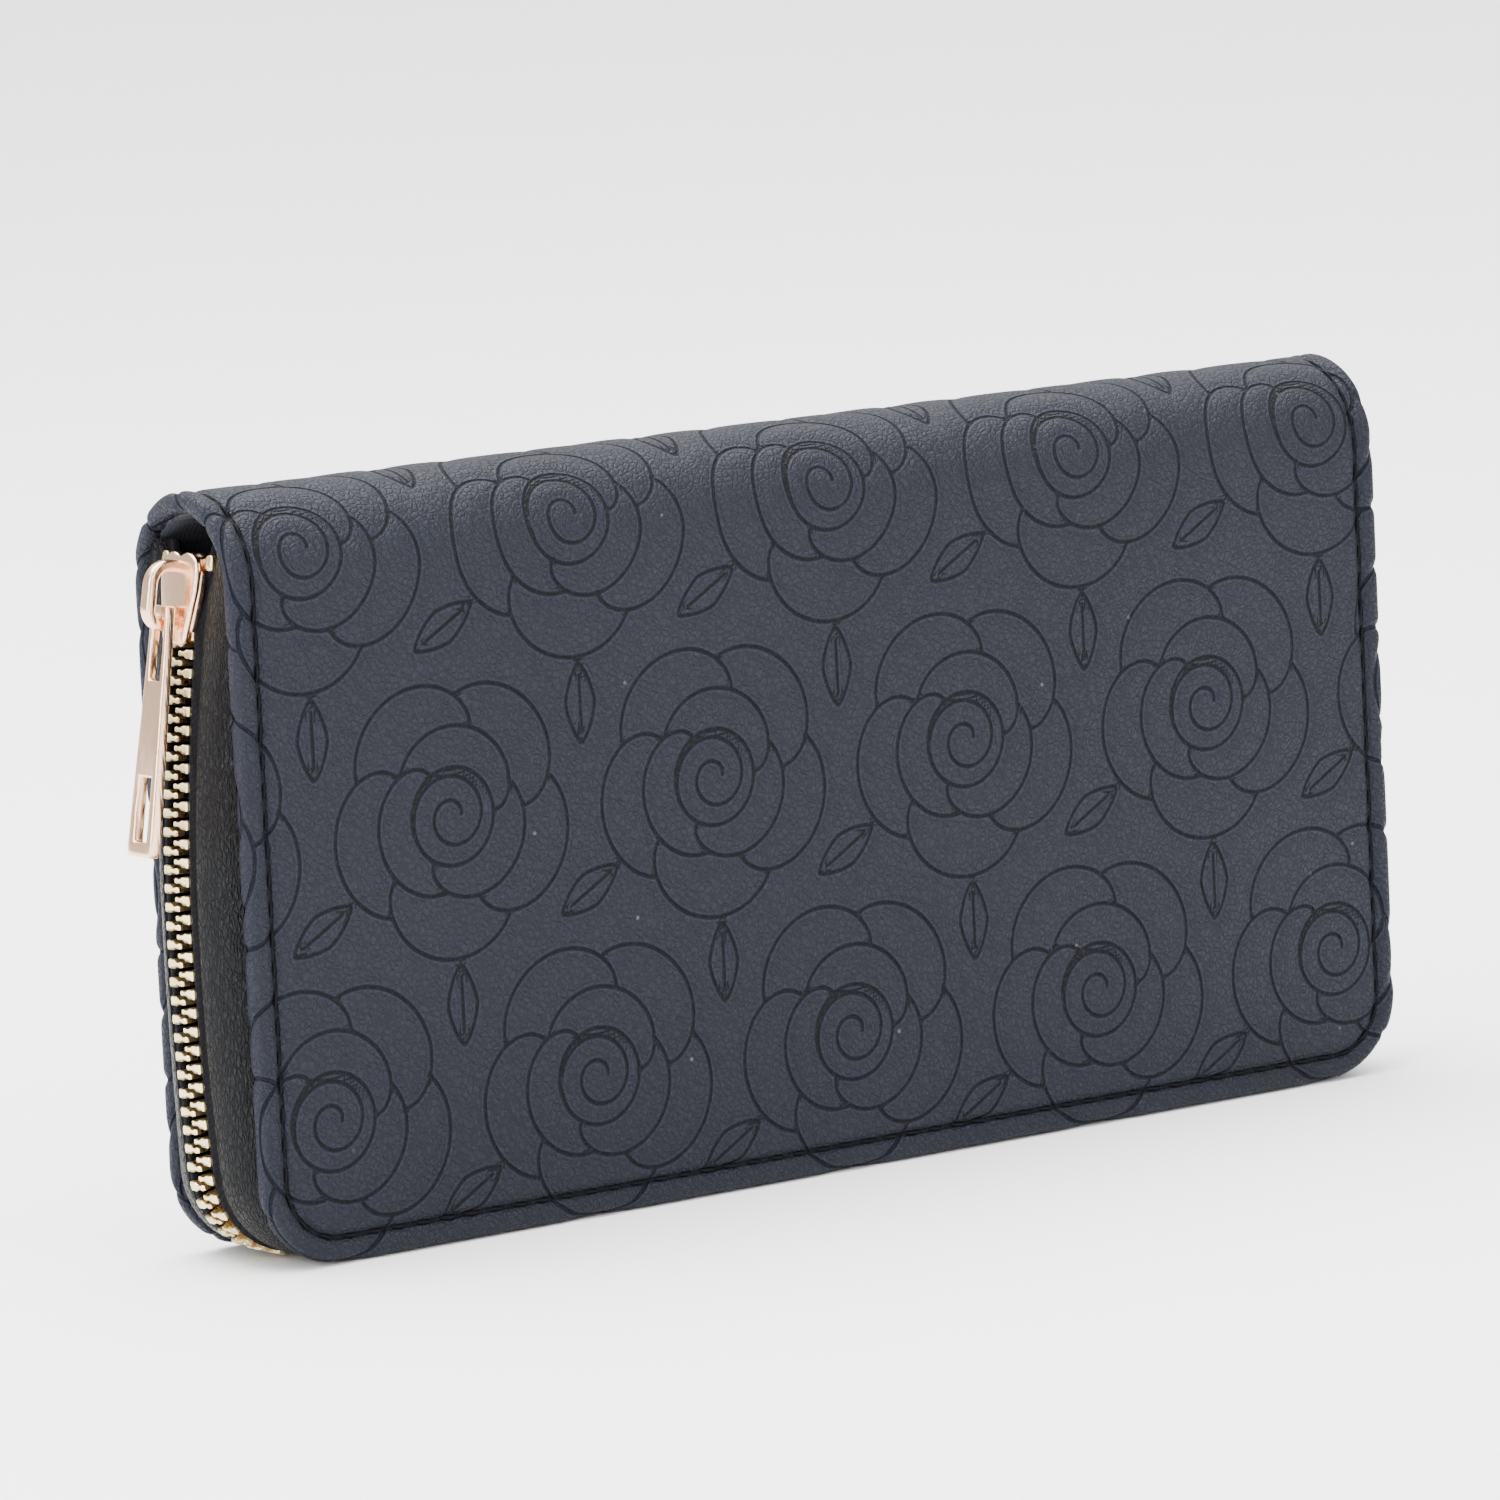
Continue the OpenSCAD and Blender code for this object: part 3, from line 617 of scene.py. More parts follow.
def leather_grain():
    """Fine pebbles parted by creases: two cell patterns of different sizes over soft noise."""

    def build(tree, given):
        bent = put(tree, "ShaderNodeTexNoise", {"Vector": given["Place"], "Scale": 420.0, "Detail": 2.0})
        soft = put(
            tree,
            "ShaderNodeVectorMath",
            {0: bent.outputs["Color"], 1: (0.5, 0.5, 0.5)},
            operation="SUBTRACT",
        )
        shift = put(tree, "ShaderNodeVectorMath", {0: soft.outputs[0], "Scale": 0.0009}, operation="SCALE")
        place = put(
            tree, "ShaderNodeVectorMath", {0: given["Place"], 1: shift.outputs[0]}, operation="ADD"
        ).outputs[0]
        cells = put(
            tree, "ShaderNodeTexVoronoi", {
                "Vector": place, "Scale": given["Scale"]
            }, feature="DISTANCE_TO_EDGE"
        ).outputs["Distance"]
        finer = put(
            tree,
            "ShaderNodeTexVoronoi",
            {"Vector": place, "Scale": sums(tree, "MULTIPLY", given["Scale"], 2.3)},
            feature="DISTANCE_TO_EDGE",
        ).outputs["Distance"]
        big = ranged(tree, cells, 0.0, 0.22)
        small = ranged(tree, finer, 0.0, 0.2)
        noise = put(
            tree, "ShaderNodeTexNoise", {"Vector": given["Place"], "Scale": 130.0, "Detail": 4.0}
        ).outputs["Fac"]
        height = sums(tree, "MULTIPLY_ADD", small, 0.35, sums(tree, "MULTIPLY_ADD", noise, 0.5, big))
        # Crease: a mask of the grain's creases, which the leathers darken as painted shade and make rougher.
        crease = sums(
            tree, "SUBTRACT", 1.0, sums(tree, "MULTIPLY", big, ranged(tree, small, 0.0, 1.0, 0.6, 1.0))
        )
        return {"Height": height, "Crease": crease}

    return group(
        "Leather Grain",
        {"Place": (VECTOR, None), "Scale": (NUMBER, 1200.0)},
        {"Height": NUMBER, "Crease": NUMBER},
        build,
    )


def pressed_line():
    """Profile of an embossed line from the vector to its nearest point, as masks: its floor, where the
    leather gets painted shade, soft walls, and a lip, where it gets a painted highlight."""

    def build(tree, given):
        parts = put(tree, "ShaderNodeSeparateXYZ", {0: given["Line"]}).outputs
        flat = put(tree, "ShaderNodeCombineXYZ", {0: parts[0], 1: parts[1]}).outputs[0]
        near = put(tree, "ShaderNodeVectorMath", {0: flat}, operation="LENGTH").outputs["Value"]
        far = sums(tree, "SUBTRACT", parts[2], 0.3)
        distance = sums(tree, "MAXIMUM", near, far)
        half = sums(tree, "MULTIPLY", given["Width"], 0.5)
        floor = ranged(tree, sums(tree, "DIVIDE", distance, half), 0.25, 1.35, 1.0, 0.0)
        lip_in = ranged(tree, sums(tree, "DIVIDE", distance, half), 1.0, 1.7)
        lip_out = ranged(tree, sums(tree, "DIVIDE", distance, half), 1.7, 3.2, 1.0, 0.0)
        lip = sums(tree, "MULTIPLY", lip_in, lip_out)
        return {"Floor": floor, "Lip": lip}

    return group(
        "Pressed Line",
        {"Line": (VECTOR, None), "Width": (NUMBER, 0.6)},
        {"Floor": NUMBER, "Lip": NUMBER},
        build,
    )


def woven_cloth():
    """Plain weave: threads both ways as ridges |sin u/2| and |sin w/2|, the first on top where sin u sin w
    > 0. Shade is random fuzz plus painted shade and light from the threads' height."""

    def build(tree, given):
        parts = put(tree, "ShaderNodeSeparateXYZ", {0: given["Place"]}).outputs
        u = sums(tree, "MULTIPLY", parts[0], given["Threads"])
        w = sums(tree, "MULTIPLY", sums(tree, "ADD", parts[1], parts[2]), given["Threads"])
        over = sums(tree, "SINE", u)
        under = sums(tree, "SINE", w)
        waves = sums(tree, "MULTIPLY", over, under)
        warp = sums(tree, "ABSOLUTE", sums(tree, "SINE", sums(tree, "MULTIPLY", u, 0.5)))
        weft = sums(tree, "ABSOLUTE", sums(tree, "SINE", sums(tree, "MULTIPLY", w, 0.5)))
        pick = ranged(tree, waves, -0.15, 0.15)
        height = sums(
            tree,
            "ADD",
            sums(tree, "MULTIPLY", warp, pick),
            sums(tree, "MULTIPLY", weft, sums(tree, "SUBTRACT", 1.0, pick)),
        )
        fuzz = put(
            tree, "ShaderNodeTexNoise", {"Vector": given["Place"], "Scale": 3200.0, "Detail": 2.0}
        ).outputs["Fac"]
        # Shade: random fuzz plus painted shade and light, darker in the hollows between threads and lighter
        # on their tops.
        shade = sums(tree, "MULTIPLY_ADD", fuzz, 0.5, sums(tree, "MULTIPLY", height, 0.7))
        return {"Height": height, "Shade": shade}

    return group(
        "Woven Cloth",
        {"Place": (VECTOR, None), "Threads": (NUMBER, 9000.0)},
        {"Height": NUMBER, "Shade": NUMBER},
        build,
    )


def light_dust():
    """Sparse pale specks and a soft cloudy film, as masks."""

    def build(tree, given):
        specks = put(
            tree, "ShaderNodeTexVoronoi", {"Vector": given["Place"], "Scale": 260.0, "Randomness": 1.0}
        )
        dots = ranged(tree, specks.outputs["Distance"], 0.05, 0.09, 1.0, 0.0)
        pick = put(tree, "ShaderNodeSeparateColor", {0: specks.outputs["Color"]}).outputs[0]
        rare = ranged(tree, pick, 0.86, 0.9)
        cloud = put(
            tree, "ShaderNodeTexNoise", {"Vector": given["Place"], "Scale": 24.0, "Detail": 5.0}
        ).outputs["Fac"]
        film = ranged(tree, cloud, 0.42, 0.75)
        return {"Specks": sums(tree, "MULTIPLY", dots, rare), "Film": film}

    return group("Light Dust", {"Place": (VECTOR, None)}, {"Specks": NUMBER, "Film": NUMBER}, build)


def metal_wear():
    """Fine scratches and handling marks: stretched noise for scratches and soft noise for marks."""

    def build(tree, given):
        long = put(
            tree, "ShaderNodeMapping", {"Vector": given["Place"], "Scale": (2600.0, 2600.0, 160.0)}
        ).outputs[0]
        scratch = put(
            tree, "ShaderNodeTexNoise", {"Vector": long, "Scale": 1.0, "Detail": 3.0}
        ).outputs["Fac"]
        marks = put(
            tree, "ShaderNodeTexNoise", {"Vector": given["Place"], "Scale": 300.0, "Detail": 4.0}
        ).outputs["Fac"]
        return {"Scratch": ranged(tree, scratch, 0.35, 0.65), "Marks": ranged(tree, marks, 0.4, 0.7)}

    return group("Metal Wear", {"Place": (VECTOR, None)}, {"Scratch": NUMBER, "Marks": NUMBER}, build)


def material(name):
    """A new finish: the material, its tree, its shader and the Object coordinates."""
    made = bpy.data.materials.new(name + "_finish")
    made.use_nodes = True
    tree = made.node_tree
    shader = tree.nodes["Principled BSDF"]
    place = tree.nodes.new("ShaderNodeTexCoord").outputs["Object"]
    return made, tree, shader, place


def give(tree, shader, colour, roughness, height, depth, strength=1.0):
    """Feeds the shader's colour, roughness and bump."""
    bump = put(tree, "ShaderNodeBump", {"Strength": strength, "Distance": depth, "Height": height})
    for key, value in (("Base Color", colour), ("Roughness", roughness), ("Normal", bump.outputs[0])):
        if isinstance(value, bpy.types.NodeSocket):
            tree.links.new(value, shader.inputs[key])
        else:
            shader.inputs[key].default_value = value


def scaled(colour, k):
    """A colour made k times as strong, as a socket value."""
    return (*[min(c * k, 1.0) for c in colour], 1.0)


def outer_leather():
    """Embossed leather: grain creases, pressed lines and the seam's channel with painted shade, painted
    highlights on the lines' lips, and a worn edge.
    """
    colour = bpy.context.scene.wallet_finish.leather
    sizes = bpy.context.scene.wallet_leather
    made, tree, shader, place = material("outer_leather")
    line = put(tree, "ShaderNodeAttribute", attribute_name="line").outputs["Vector"]
    edge = put(tree, "ShaderNodeAttribute", attribute_name="edge").outputs["Fac"]
    grain = placed(tree, leather_grain(), {"Place": place, "Scale": 1150.0})
    pressed = placed(tree, pressed_line(), {"Line": line, "Width": sizes.groove / MM})
    dust = placed(tree, light_dust(), {"Place": place})
    away = sums(tree, "ABSOLUTE", sums(tree, "ADD", edge, sizes.seam_inset / MM))
    channel = ranged(tree, away, 0.1, 0.4, 1.0, 0.0)
    worn = sums(tree, "MULTIPLY", ranged(tree, edge, -1.2, 0.4), ranged(tree, edge, 0.6, 2.4, 1.0, 0.0))
    hidden = ranged(tree, edge, 3.6, 4.6, 1.0, 0.0)
    base = mixed(tree, dust["Film"], scaled(colour, 0.9), scaled(colour, 1.12))
    # Painted shade: the grain's creases are darkened towards 0.3 times the leather colour.
    base = mixed(tree, sums(tree, "MULTIPLY", grain["Crease"], 0.55), base, scaled(colour, 0.3))
    base = mixed(tree, sums(tree, "MULTIPLY", worn, 0.3), base, scaled(colour, 2.0))
    # Painted highlight: the lips beside the pressed lines are lightened towards 2.2 times the leather colour.
    base = mixed(tree, sums(tree, "MULTIPLY", pressed["Lip"], 0.4), base, scaled(colour, 2.2))
    # Painted shade on the pressed lines' floors, towards 0.05 times the leather colour: weight 0.95 inside
    # the seam, easing to 0.5 on the rim outside it.
    line_shade_weight = ranged(tree, edge, -sizes.seam_inset / MM - 0.4, -sizes.seam_inset / MM + 0.6, 0.95, 0.5)
    base = mixed(tree, sums(tree, "MULTIPLY", pressed["Floor"], line_shade_weight), base, scaled(colour, 0.05))
    # Painted shade: the seam's channel is darkened towards 0.06 times the leather colour.
    base = mixed(tree, sums(tree, "MULTIPLY", channel, 0.8), base, scaled(colour, 0.06))
    base = mixed(tree, sums(tree, "MULTIPLY", dust["Specks"], 0.10), base, (0.5, 0.5, 0.5, 1))
    rough = sums(tree, "MULTIPLY_ADD", grain["Crease"], 0.16, 0.42)
    rough = sums(tree, "MULTIPLY_ADD", sums(tree, "MAXIMUM", pressed["Floor"], channel), 0.3, rough)
    height = sums(
        tree, "MULTIPLY_ADD", grain["Height"], 0.11, sums(tree, "MULTIPLY", pressed["Floor"], -0.42)
    )
    height = sums(tree, "MULTIPLY_ADD", pressed["Lip"], 0.07, height)
    height = sums(tree, "MULTIPLY_ADD", channel, -0.35, height)
    give(tree, shader, base, rough, sums(tree, "MULTIPLY", height, hidden), 1.0 * MM)
    shader.inputs["Specular IOR Level"].default_value = 0.2
    shader.inputs["Specular Tint"].default_value = (0.86, 0.9, 1.0, 1)
    return made


def soft_leather(name, colour, scale, stretch, depth, roughness, gloss):
    """Plain leather with its grain drawn out by stretch, for gussets, pockets and bindings."""
    made, tree, shader, place = material(name)
    moved = put(tree, "ShaderNodeMapping", {"Vector": place, "Scale": stretch}).outputs[0]
    grain = placed(tree, leather_grain(), {"Place": moved, "Scale": scale})
    dust = placed(tree, light_dust(), {"Place": place})
    base = mixed(tree, dust["Film"], scaled(colour, 0.95), scaled(colour, 1.4))
    # Painted shade: the grain's creases are darkened towards 0.15 times the colour.
    base = mixed(tree, sums(tree, "MULTIPLY", grain["Crease"], 0.8), base, scaled(colour, 0.15))
    base = mixed(tree, sums(tree, "MULTIPLY", dust["Specks"], 0.08), base, (0.5, 0.5, 0.5, 1))
    rough = sums(tree, "MULTIPLY_ADD", grain["Crease"], 0.3, roughness)
    give(tree, shader, base, rough, grain["Height"], depth * MM)
    shader.inputs["Specular IOR Level"].default_value = gloss
    return made


def cloth(name, colour, threads, depth, sheen):
    """Woven cloth with a little fuzz, with painted shade in the hollows of its weave and painted light on the
    thread tops.
    """
    made, tree, shader, place = material(name)
    weave = placed(tree, woven_cloth(), {"Place": place, "Threads": threads})
    dust = placed(tree, light_dust(), {"Place": place})
    # Painted shade and light from the weave: 0.45 times the colour in the hollows, up to 1.6 times on the
    # thread tops.
    base = mixed(tree, weave["Shade"], scaled(colour, 0.45), scaled(colour, 1.6))
    base = mixed(tree, sums(tree, "MULTIPLY", dust["Film"], 0.25), base, scaled(colour, 1.5))
    give(tree, shader, base, ranged(tree, weave["Shade"], 0.0, 1.2, 0.9, 0.72), weave["Height"], depth * MM)
    shader.inputs["Sheen Weight"].default_value = sheen
    shader.inputs["Specular IOR Level"].default_value = 0.1
    return made


def metal(name, colour, roughness, bright):
    """Plated metal with fine scratches and handling marks."""
    made, tree, shader, place = material(name)
    wear = placed(tree, metal_wear(), {"Place": place})
    base = mixed(tree, wear["Marks"], scaled(colour, 1.0), scaled(colour, bright))
    rough = sums(tree, "MULTIPLY_ADD", wear["Marks"], 0.08, roughness)
    rough = sums(tree, "MULTIPLY_ADD", wear["Scratch"], 0.05, rough)
    give(tree, shader, base, rough, wear["Scratch"], 0.01 * MM)
    shader.inputs["Metallic"].default_value = 1.0
    return made


def pulp_board(name, colour, scale, depth, roughness):
    """Board or foam: mottled fibre with fine pits."""
    made, tree, shader, place = material(name)
    fibre = put(
        tree, "ShaderNodeTexNoise", {"Vector": place, "Scale": scale, "Detail": 6.0, "Roughness": 0.7}
    ).outputs["Fac"]
    pits = put(tree, "ShaderNodeTexVoronoi", {"Vector": place, "Scale": scale * 2}).outputs["Distance"]
    base = mixed(tree, fibre, scaled(colour, 0.7), scaled(colour, 1.25))
    give(
        tree,
        shader,
        base,
        ranged(tree, fibre, 0.3, 0.7, roughness, 0.95),
        sums(tree, "ADD", fibre, pits),
        depth * MM,
    )
    return made


def finish_for(name):
    """The finish of that name, made on first use."""
    if name + "_finish" in bpy.data.materials:
        return bpy.data.materials[name + "_finish"]
    tones = bpy.context.scene.wallet_finish
    makers = {
        "outer_leather": outer_leather,
        "gusset_leather": lambda: soft_leather(
            "gusset_leather", tones.gusset, 1900.0, (1.0, 1.0, 0.36), 0.5, 0.3, 0.2
        ),
        "inner_leather": lambda: soft_leather(
            "inner_leather", tones.inner, 1300.0, (1.0, 1.0, 1.0), 0.08, 0.45, 0.16
        ),
        "lining_fabric": lambda: cloth("lining_fabric", tones.lining, 9000.0, 0.08, 0.1),
        "zip_tape": lambda: cloth("zip_tape", tones.tape, 6500.0, 0.12, 0.0),
        "thread": lambda: cloth("thread", tones.thread, 16000.0, 0.04, 0.0),
        "coil_plastic": lambda: soft_leather(
            "coil_plastic", tones.tape, 2500.0, (1.0, 1.0, 1.0), 0.01, 0.3, 0.5
        ),
        "zip_metal": lambda: metal("zip_metal", tones.teeth, 0.24, 0.8),
        "rose_gold_metal": lambda: metal("rose_gold_metal", tones.gold, 0.16, 0.9),
        "stiffener_board": lambda: pulp_board("stiffener_board", tones.board, 900.0, 0.05, 0.8),
        "spine_foam": lambda: pulp_board("spine_foam", tones.foam, 1400.0, 0.2, 0.9),
    }
    return makers[name]()


# ---------------------------------------------------------------- the zip's line


ARC_R = 260.0
LOW_R = 400.0
TURN_R = 12.0
CHAIN_Z = 1.4
BOW = 2.4
BOW_Z = 42.0
SLIDER_Z = 87.0
UPPER_X = ARC_R - HALF_L - BOW
LOWER_X = LOW_R - HALF_L - BOW
TURN_Z = CHAIN_Z + TURN_R
TURN_X = LOWER_X - math.sqrt((LOW_R - TURN_R) ** 2 - (BOW_Z - TURN_Z) ** 2)
LOW_LEAN = math.asin((BOW_Z - TURN_Z) / (LOW_R - TURN_R))
SLIDER_A = math.asin((SLIDER_Z - BOW_Z) / ARC_R)
S_TURN = -TURN_X
S_LOW = S_TURN + TURN_R * (math.pi / 2 - LOW_LEAN)
S_UP = S_LOW + LOW_R * LOW_LEAN
S_SLIDER = S_UP + ARC_R * SLIDER_A
FLARE_A, FLARE_Y = math.radians(1.5), 2.2
S_END = S_SLIDER + ARC_R * FLARE_A
TOP_STOP_A = 0.92
END_STOP_A = 0.23
PULLER_SWING = 9.5


def zip_line(s):
    """The zip's middle at length s from the bottom's middle, towards -X where s > 0: straight, then arcs
    centre + r (-cos a, sin a) of growing lean a. Gives the place, the ways along and out, and the side
    flare."""
    t, sign = np.abs(s), np.where(s < 0, -1.0, 1.0)
    a = np.select(
        [t < S_TURN, t < S_LOW, t < S_UP],
        [-math.pi / 2 + 0 * t, (t - S_TURN) / TURN_R - math.pi / 2, (t - S_LOW) / LOW_R - LOW_LEAN],
        (t - S_UP) / ARC_R,
    )
    r = np.select([t < S_TURN, t < S_LOW, t < S_UP], [0 * t, TURN_R + 0 * t, LOW_R + 0 * t], ARC_R)
    cx = np.select([t < S_TURN, t < S_LOW, t < S_UP], [-t, TURN_X + 0 * t, LOWER_X + 0 * t], UPPER_X)
    cz = np.select([t < S_TURN, t < S_LOW, t < S_UP], [CHAIN_Z + 0 * t, TURN_Z + 0 * t, BOW_Z + 0 * t], BOW_Z)
    zero = 0 * t
    place = np.stack([(cx - r * np.cos(a)) * sign, zero, cz + r * np.sin(a)], -1)
    out = np.stack([-np.cos(a) * sign, zero, np.sin(a)], -1)
    along = np.stack([np.sin(a), zero, np.cos(a) * sign], -1)
    flare = FLARE_Y * np.maximum(0, a - SLIDER_A) / FLARE_A
    return place, along, out, flare


def cover_edge(place, inset):
    """The covers' edge beside a place on the zip, drawn in by inset: an upright, a quarter circle or the
    bottom."""
    x, z = -np.abs(place[:, 0]), place[:, 2]
    corner = CORNER_R - HALF_L
    r = CORNER_R - inset
    a = np.arctan2(CORNER_R - z, corner - x)
    ex = np.where(z > CORNER_R, inset - HALF_L, np.where(x > corner, x, corner - r * np.cos(a)))
    ez = np.where(z > CORNER_R, z, np.where(x > corner, inset, CORNER_R - r * np.sin(a)))
    return np.stack([np.where(place[:, 0] < 0, ex, -ex), 0 * z, ez], -1)


def half_side(points, side):
    """Moves points made about the middle plane, with y towards the back, onto the front (-1) or back (1)
    half."""
    return points * [1, side, 1] + [0, MID_Y, 0]


def closed_piece(name, parts, material_name, body, stands_for, side=1, fields=None, smooth=True):
    """A piece from closed parts made about the middle plane, each turned outwards first."""
    points, faces = joined(*[turned_out(half_side(p, side), f) for p, f in parts])
    return piece(
        name, points, faces, finish_for(material_name), body, stands_for, smooth, fields
    )


def soften(made, width, segments=2):
    """A small bevel on a piece's sharp edges."""
    bevel = made.modifiers.new("Soft edges", "BEVEL")
    bevel.width = width * MM
    bevel.segments = segments
    bevel.limit_method = "ANGLE"
    bevel.angle_limit = math.radians(35)
    bevel.harden_normals = False
    return made


# ---------------------------------------------------------------- operators


class WALLET_OT_outer_leather(bpy.types.Operator):
    """Makes the embossed leather: front and back panels and the spine piece that curves over between them"""

    bl_idname = "wallet.outer_leather"
    bl_label = "Outer leather"

    def execute(self, context):
        sizes = context.scene.wallet_leather
        field = LineField()
        step, roll = sizes.step / MM, sizes.roll / MM

        def relief(x, v, edge):
            return leather_relief(x, v, edge, sizes, field)

        stretches = {
            "front_leather": (roll, JOIN_Z, "front_half", ["cover_front"]),
            "spine_leather": (JOIN_Z, SHEET_V - JOIN_Z, None, []),
            "back_leather": (SHEET_V - JOIN_Z, SHEET_V - roll, "back_half", ["cover_back"]),
        }
        for name, (low, high, body, nodes) in stretches.items():
            points, faces, fields = sheet(low, high, 0, roll, COVER_T, 1.9, step, relief=relief)
            made = piece(
                name,
                points,
                faces,
                finish_for("outer_leather"),
                body,
                nodes,
                fields=fields,
            )
            if not body:
                blend_over_spine(made)
        return {"FINISHED"}


def blend_over_spine(made):
    """Bakes the placement of a piece that crosses the spine into its mesh; the piece stays as made and
    does not bend."""
    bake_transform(made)


class WALLET_OT_stitching(bpy.types.Operator):
    """Sews the line of stitches round both covers and over the spine"""

    bl_idname = "wallet.stitching"
    bl_label = "Stitching"

    def execute(self, context):
        sizes = context.scene.wallet_leather
        here, way = loop_places(sizes.seam_inset / MM, sizes.pitch / MM)
        long = np.array([-1.5, -1.25, -0.8, 0.0, 0.8, 1.25, 1.5])
        thick = np.array([0.0, 0.55, 0.9, 1.0, 0.9, 0.55, 0.0]) * sizes.thread / MM / 2
        sink = np.array([-0.75, -0.32, -0.1, 0.0, -0.1, -0.32, -0.75])
        turn = np.arange(6) * math.pi / 3
        a = long[:, None] + 0 * turn
        b = thick[:, None] * np.cos(turn) + long[:, None] * 0.09
        up = thick[:, None] * np.sin(turn) * 0.8 + sink[:, None]
        shape = np.stack([a, b, up], -1).reshape(-1, 3)
        faces = [grid(len(long), 6, False, True)]
        for name, low, high, body, nodes in (
            ("front_stitches", 0, JOIN_Z, "front_half", ["stitching_front"]),
            ("spine_stitches", JOIN_Z, SHEET_V - JOIN_Z, None, []),
            ("back_stitches", SHEET_V - JOIN_Z, SHEET_V, "back_half", ["stitching_back"]),
        ):
            keep = (here[:, 1] >= low) & (here[:, 1] < high)
            p, w = here[keep], way[keep]
            x = p[:, :1] + shape[:, 0] * w[:, :1] + shape[:, 1] * w[:, 1:]
            v = p[:, 1:] + shape[:, 0] * w[:, 1:] - shape[:, 1] * w[:, :1]
            depth = sizes.seam_sink / MM * 0.55 - shape[:, 2] + 0 * x
            points = wrap(x.ravel(), v.ravel(), depth.ravel())
            made = piece(
                name,
                points,
                repeated(len(shape), faces, len(p)),
                finish_for("thread"),
                body,
                nodes,
            )
            if not body:
                blend_over_spine(made)
        return {"FINISHED"}


class WALLET_OT_gussets(bpy.types.Operator):
    """Makes the puffed leather gussets between the covers and the zip"""

    bl_idname = "wallet.gussets"
    bl_label = "Gussets"

    def execute(self, context):
        puff = context.scene.wallet_zip.puff / MM
        s = np.linspace(-S_END, S_END, 620)
        place, along, out, flare = zip_line(s)
        start = place + out * 0.42 + np.stack([0 * s, 4.35 + flare, 0 * s], -1)
        far_y = np.sqrt(np.maximum(9.35**2 - np.maximum(place[:, 2] - SPINE_Z, 0) ** 2, 0))
        end = cover_edge(place, 1.05) + np.stack([0 * s, far_y, 0 * s], -1)
        across = end - start
        up = np.cross(along, across)
        up /= np.linalg.norm(up, axis=1)[:, None]
        up *= np.sign((up * out).sum(1))[:, None]
        q = np.linspace(0, 1, 15)
        top = np.stack([q, puff * np.sin(math.pi * q) ** 0.7], 1)
        fold = np.array([[0.0, -0.55], [-0.045, -0.42], [-0.06, -0.2]])
        under = np.stack([q[::-2], puff * 0.5 * np.sin(math.pi * q[::-2]) - 0.75], 1)[:-1]
        profile = np.concatenate([top, under, fold])
        for half, side in HALVES.items():
            parts = [swept(start, across, up, profile)]
            closed_piece(f"{half}_gusset", parts, "gusset_leather", f"{half}_half", [f"gusset_{half}"], side)
        return {"FINISHED"}


class WALLET_OT_zip_tapes(bpy.types.Operator):
    """Weaves the tape on each side of the zip, with the bead its teeth are clamped to"""

    bl_idname = "wallet.zip_tapes"
    bl_label = "Zip tapes"

    def execute(self, context):
        half_t = context.scene.wallet_zip.tape / MM / 2
        s = np.linspace(-S_END, S_END, 700)
        place, _, out, flare = zip_line(s)
        centre = place + np.stack([0 * s, flare, 0 * s], -1)
        side = np.broadcast_to(np.array([0.0, 1.0, 0.0]), centre.shape)
        y = np.array([2.3, 2.38, 2.6, 2.95, 3.3, 3.8, 4.6, 4.9])
        t = np.array([0.3, 0.55, 0.68, 0.6, half_t + 0.05, half_t, half_t, half_t * 0.6])
        profile = np.concatenate([np.stack([y, t], 1), np.stack([y, -t], 1)[::-1]])
        for half, way in HALVES.items():
            parts = [swept(centre, side, out, profile)]
            closed_piece(f"{half}_tape", parts, "zip_tape", f"{half}_half", [f"zip_tape_{half}"], way)
        return {"FINISHED"}


class WALLET_OT_zip_teeth(bpy.types.Operator):
    """Sets the metal teeth on both tapes, half a pitch apart so that they mesh"""

    bl_idname = "wallet.zip_teeth"
    bl_label = "Zip teeth"

    def execute(self, context):
        sizes = context.scene.wallet_zip
        pitch, wide, high = sizes.pitch / MM, sizes.tooth / MM / 2, sizes.height / MM / 2
        y = np.array([2.75, 2.62, 1.5, 0.95, 0.45, -0.1, -0.45])
        t = np.array([0.55, 1.0, 1.0, 0.52, 0.42, 0.62, 0.4]) * wide
        outline = np.concatenate([np.stack([y, t], 1), np.stack([y, -t], 1)[::-1]])
        middle = np.array([1.5, 0.0])
        rings = [(1.0, -high), (1.0, high - 0.16), (0.9, high), (0.55, high - 0.07)]
        shape = np.concatenate(
            [
                np.concatenate([(outline - middle) * k + middle, np.full((len(outline), 1), n)], 1)
                for k, n in rings
            ]
        )
        cols = len(outline)
        faces = [grid(4, cols, False, True), 3 * cols + np.arange(cols)[None], np.arange(cols)[None, ::-1]]
        each_way = int((S_SLIDER - 1) / pitch)
        for half, side, shift in (("front", -1, 0.0), ("back", 1, 0.5)):
            s = (np.arange(-each_way, each_way) + shift) * pitch
            place, along, out, _ = zip_line(s)
            points = (
                place[:, None]
                + along[:, None] * shape[None, :, 1:2]
                + out[:, None] * shape[None, :, 2:3]
                + np.array([0, 1, 0]) * shape[None, :, :1]
            )
            one = [np.asarray(f) for f in faces]
            if side < 0:
                one = [f[:, ::-1] for f in one]
            made = repeated(len(shape), one, len(s))
            points = half_side(points.reshape(-1, 3), side)
            points, made = turned_out(points, made)
            piece(
                f"{half}_teeth", points, made, finish_for("zip_metal"), f"{half}_half",
                [f"zip_teeth_{half}"], smooth=False,
            )
        return {"FINISHED"}


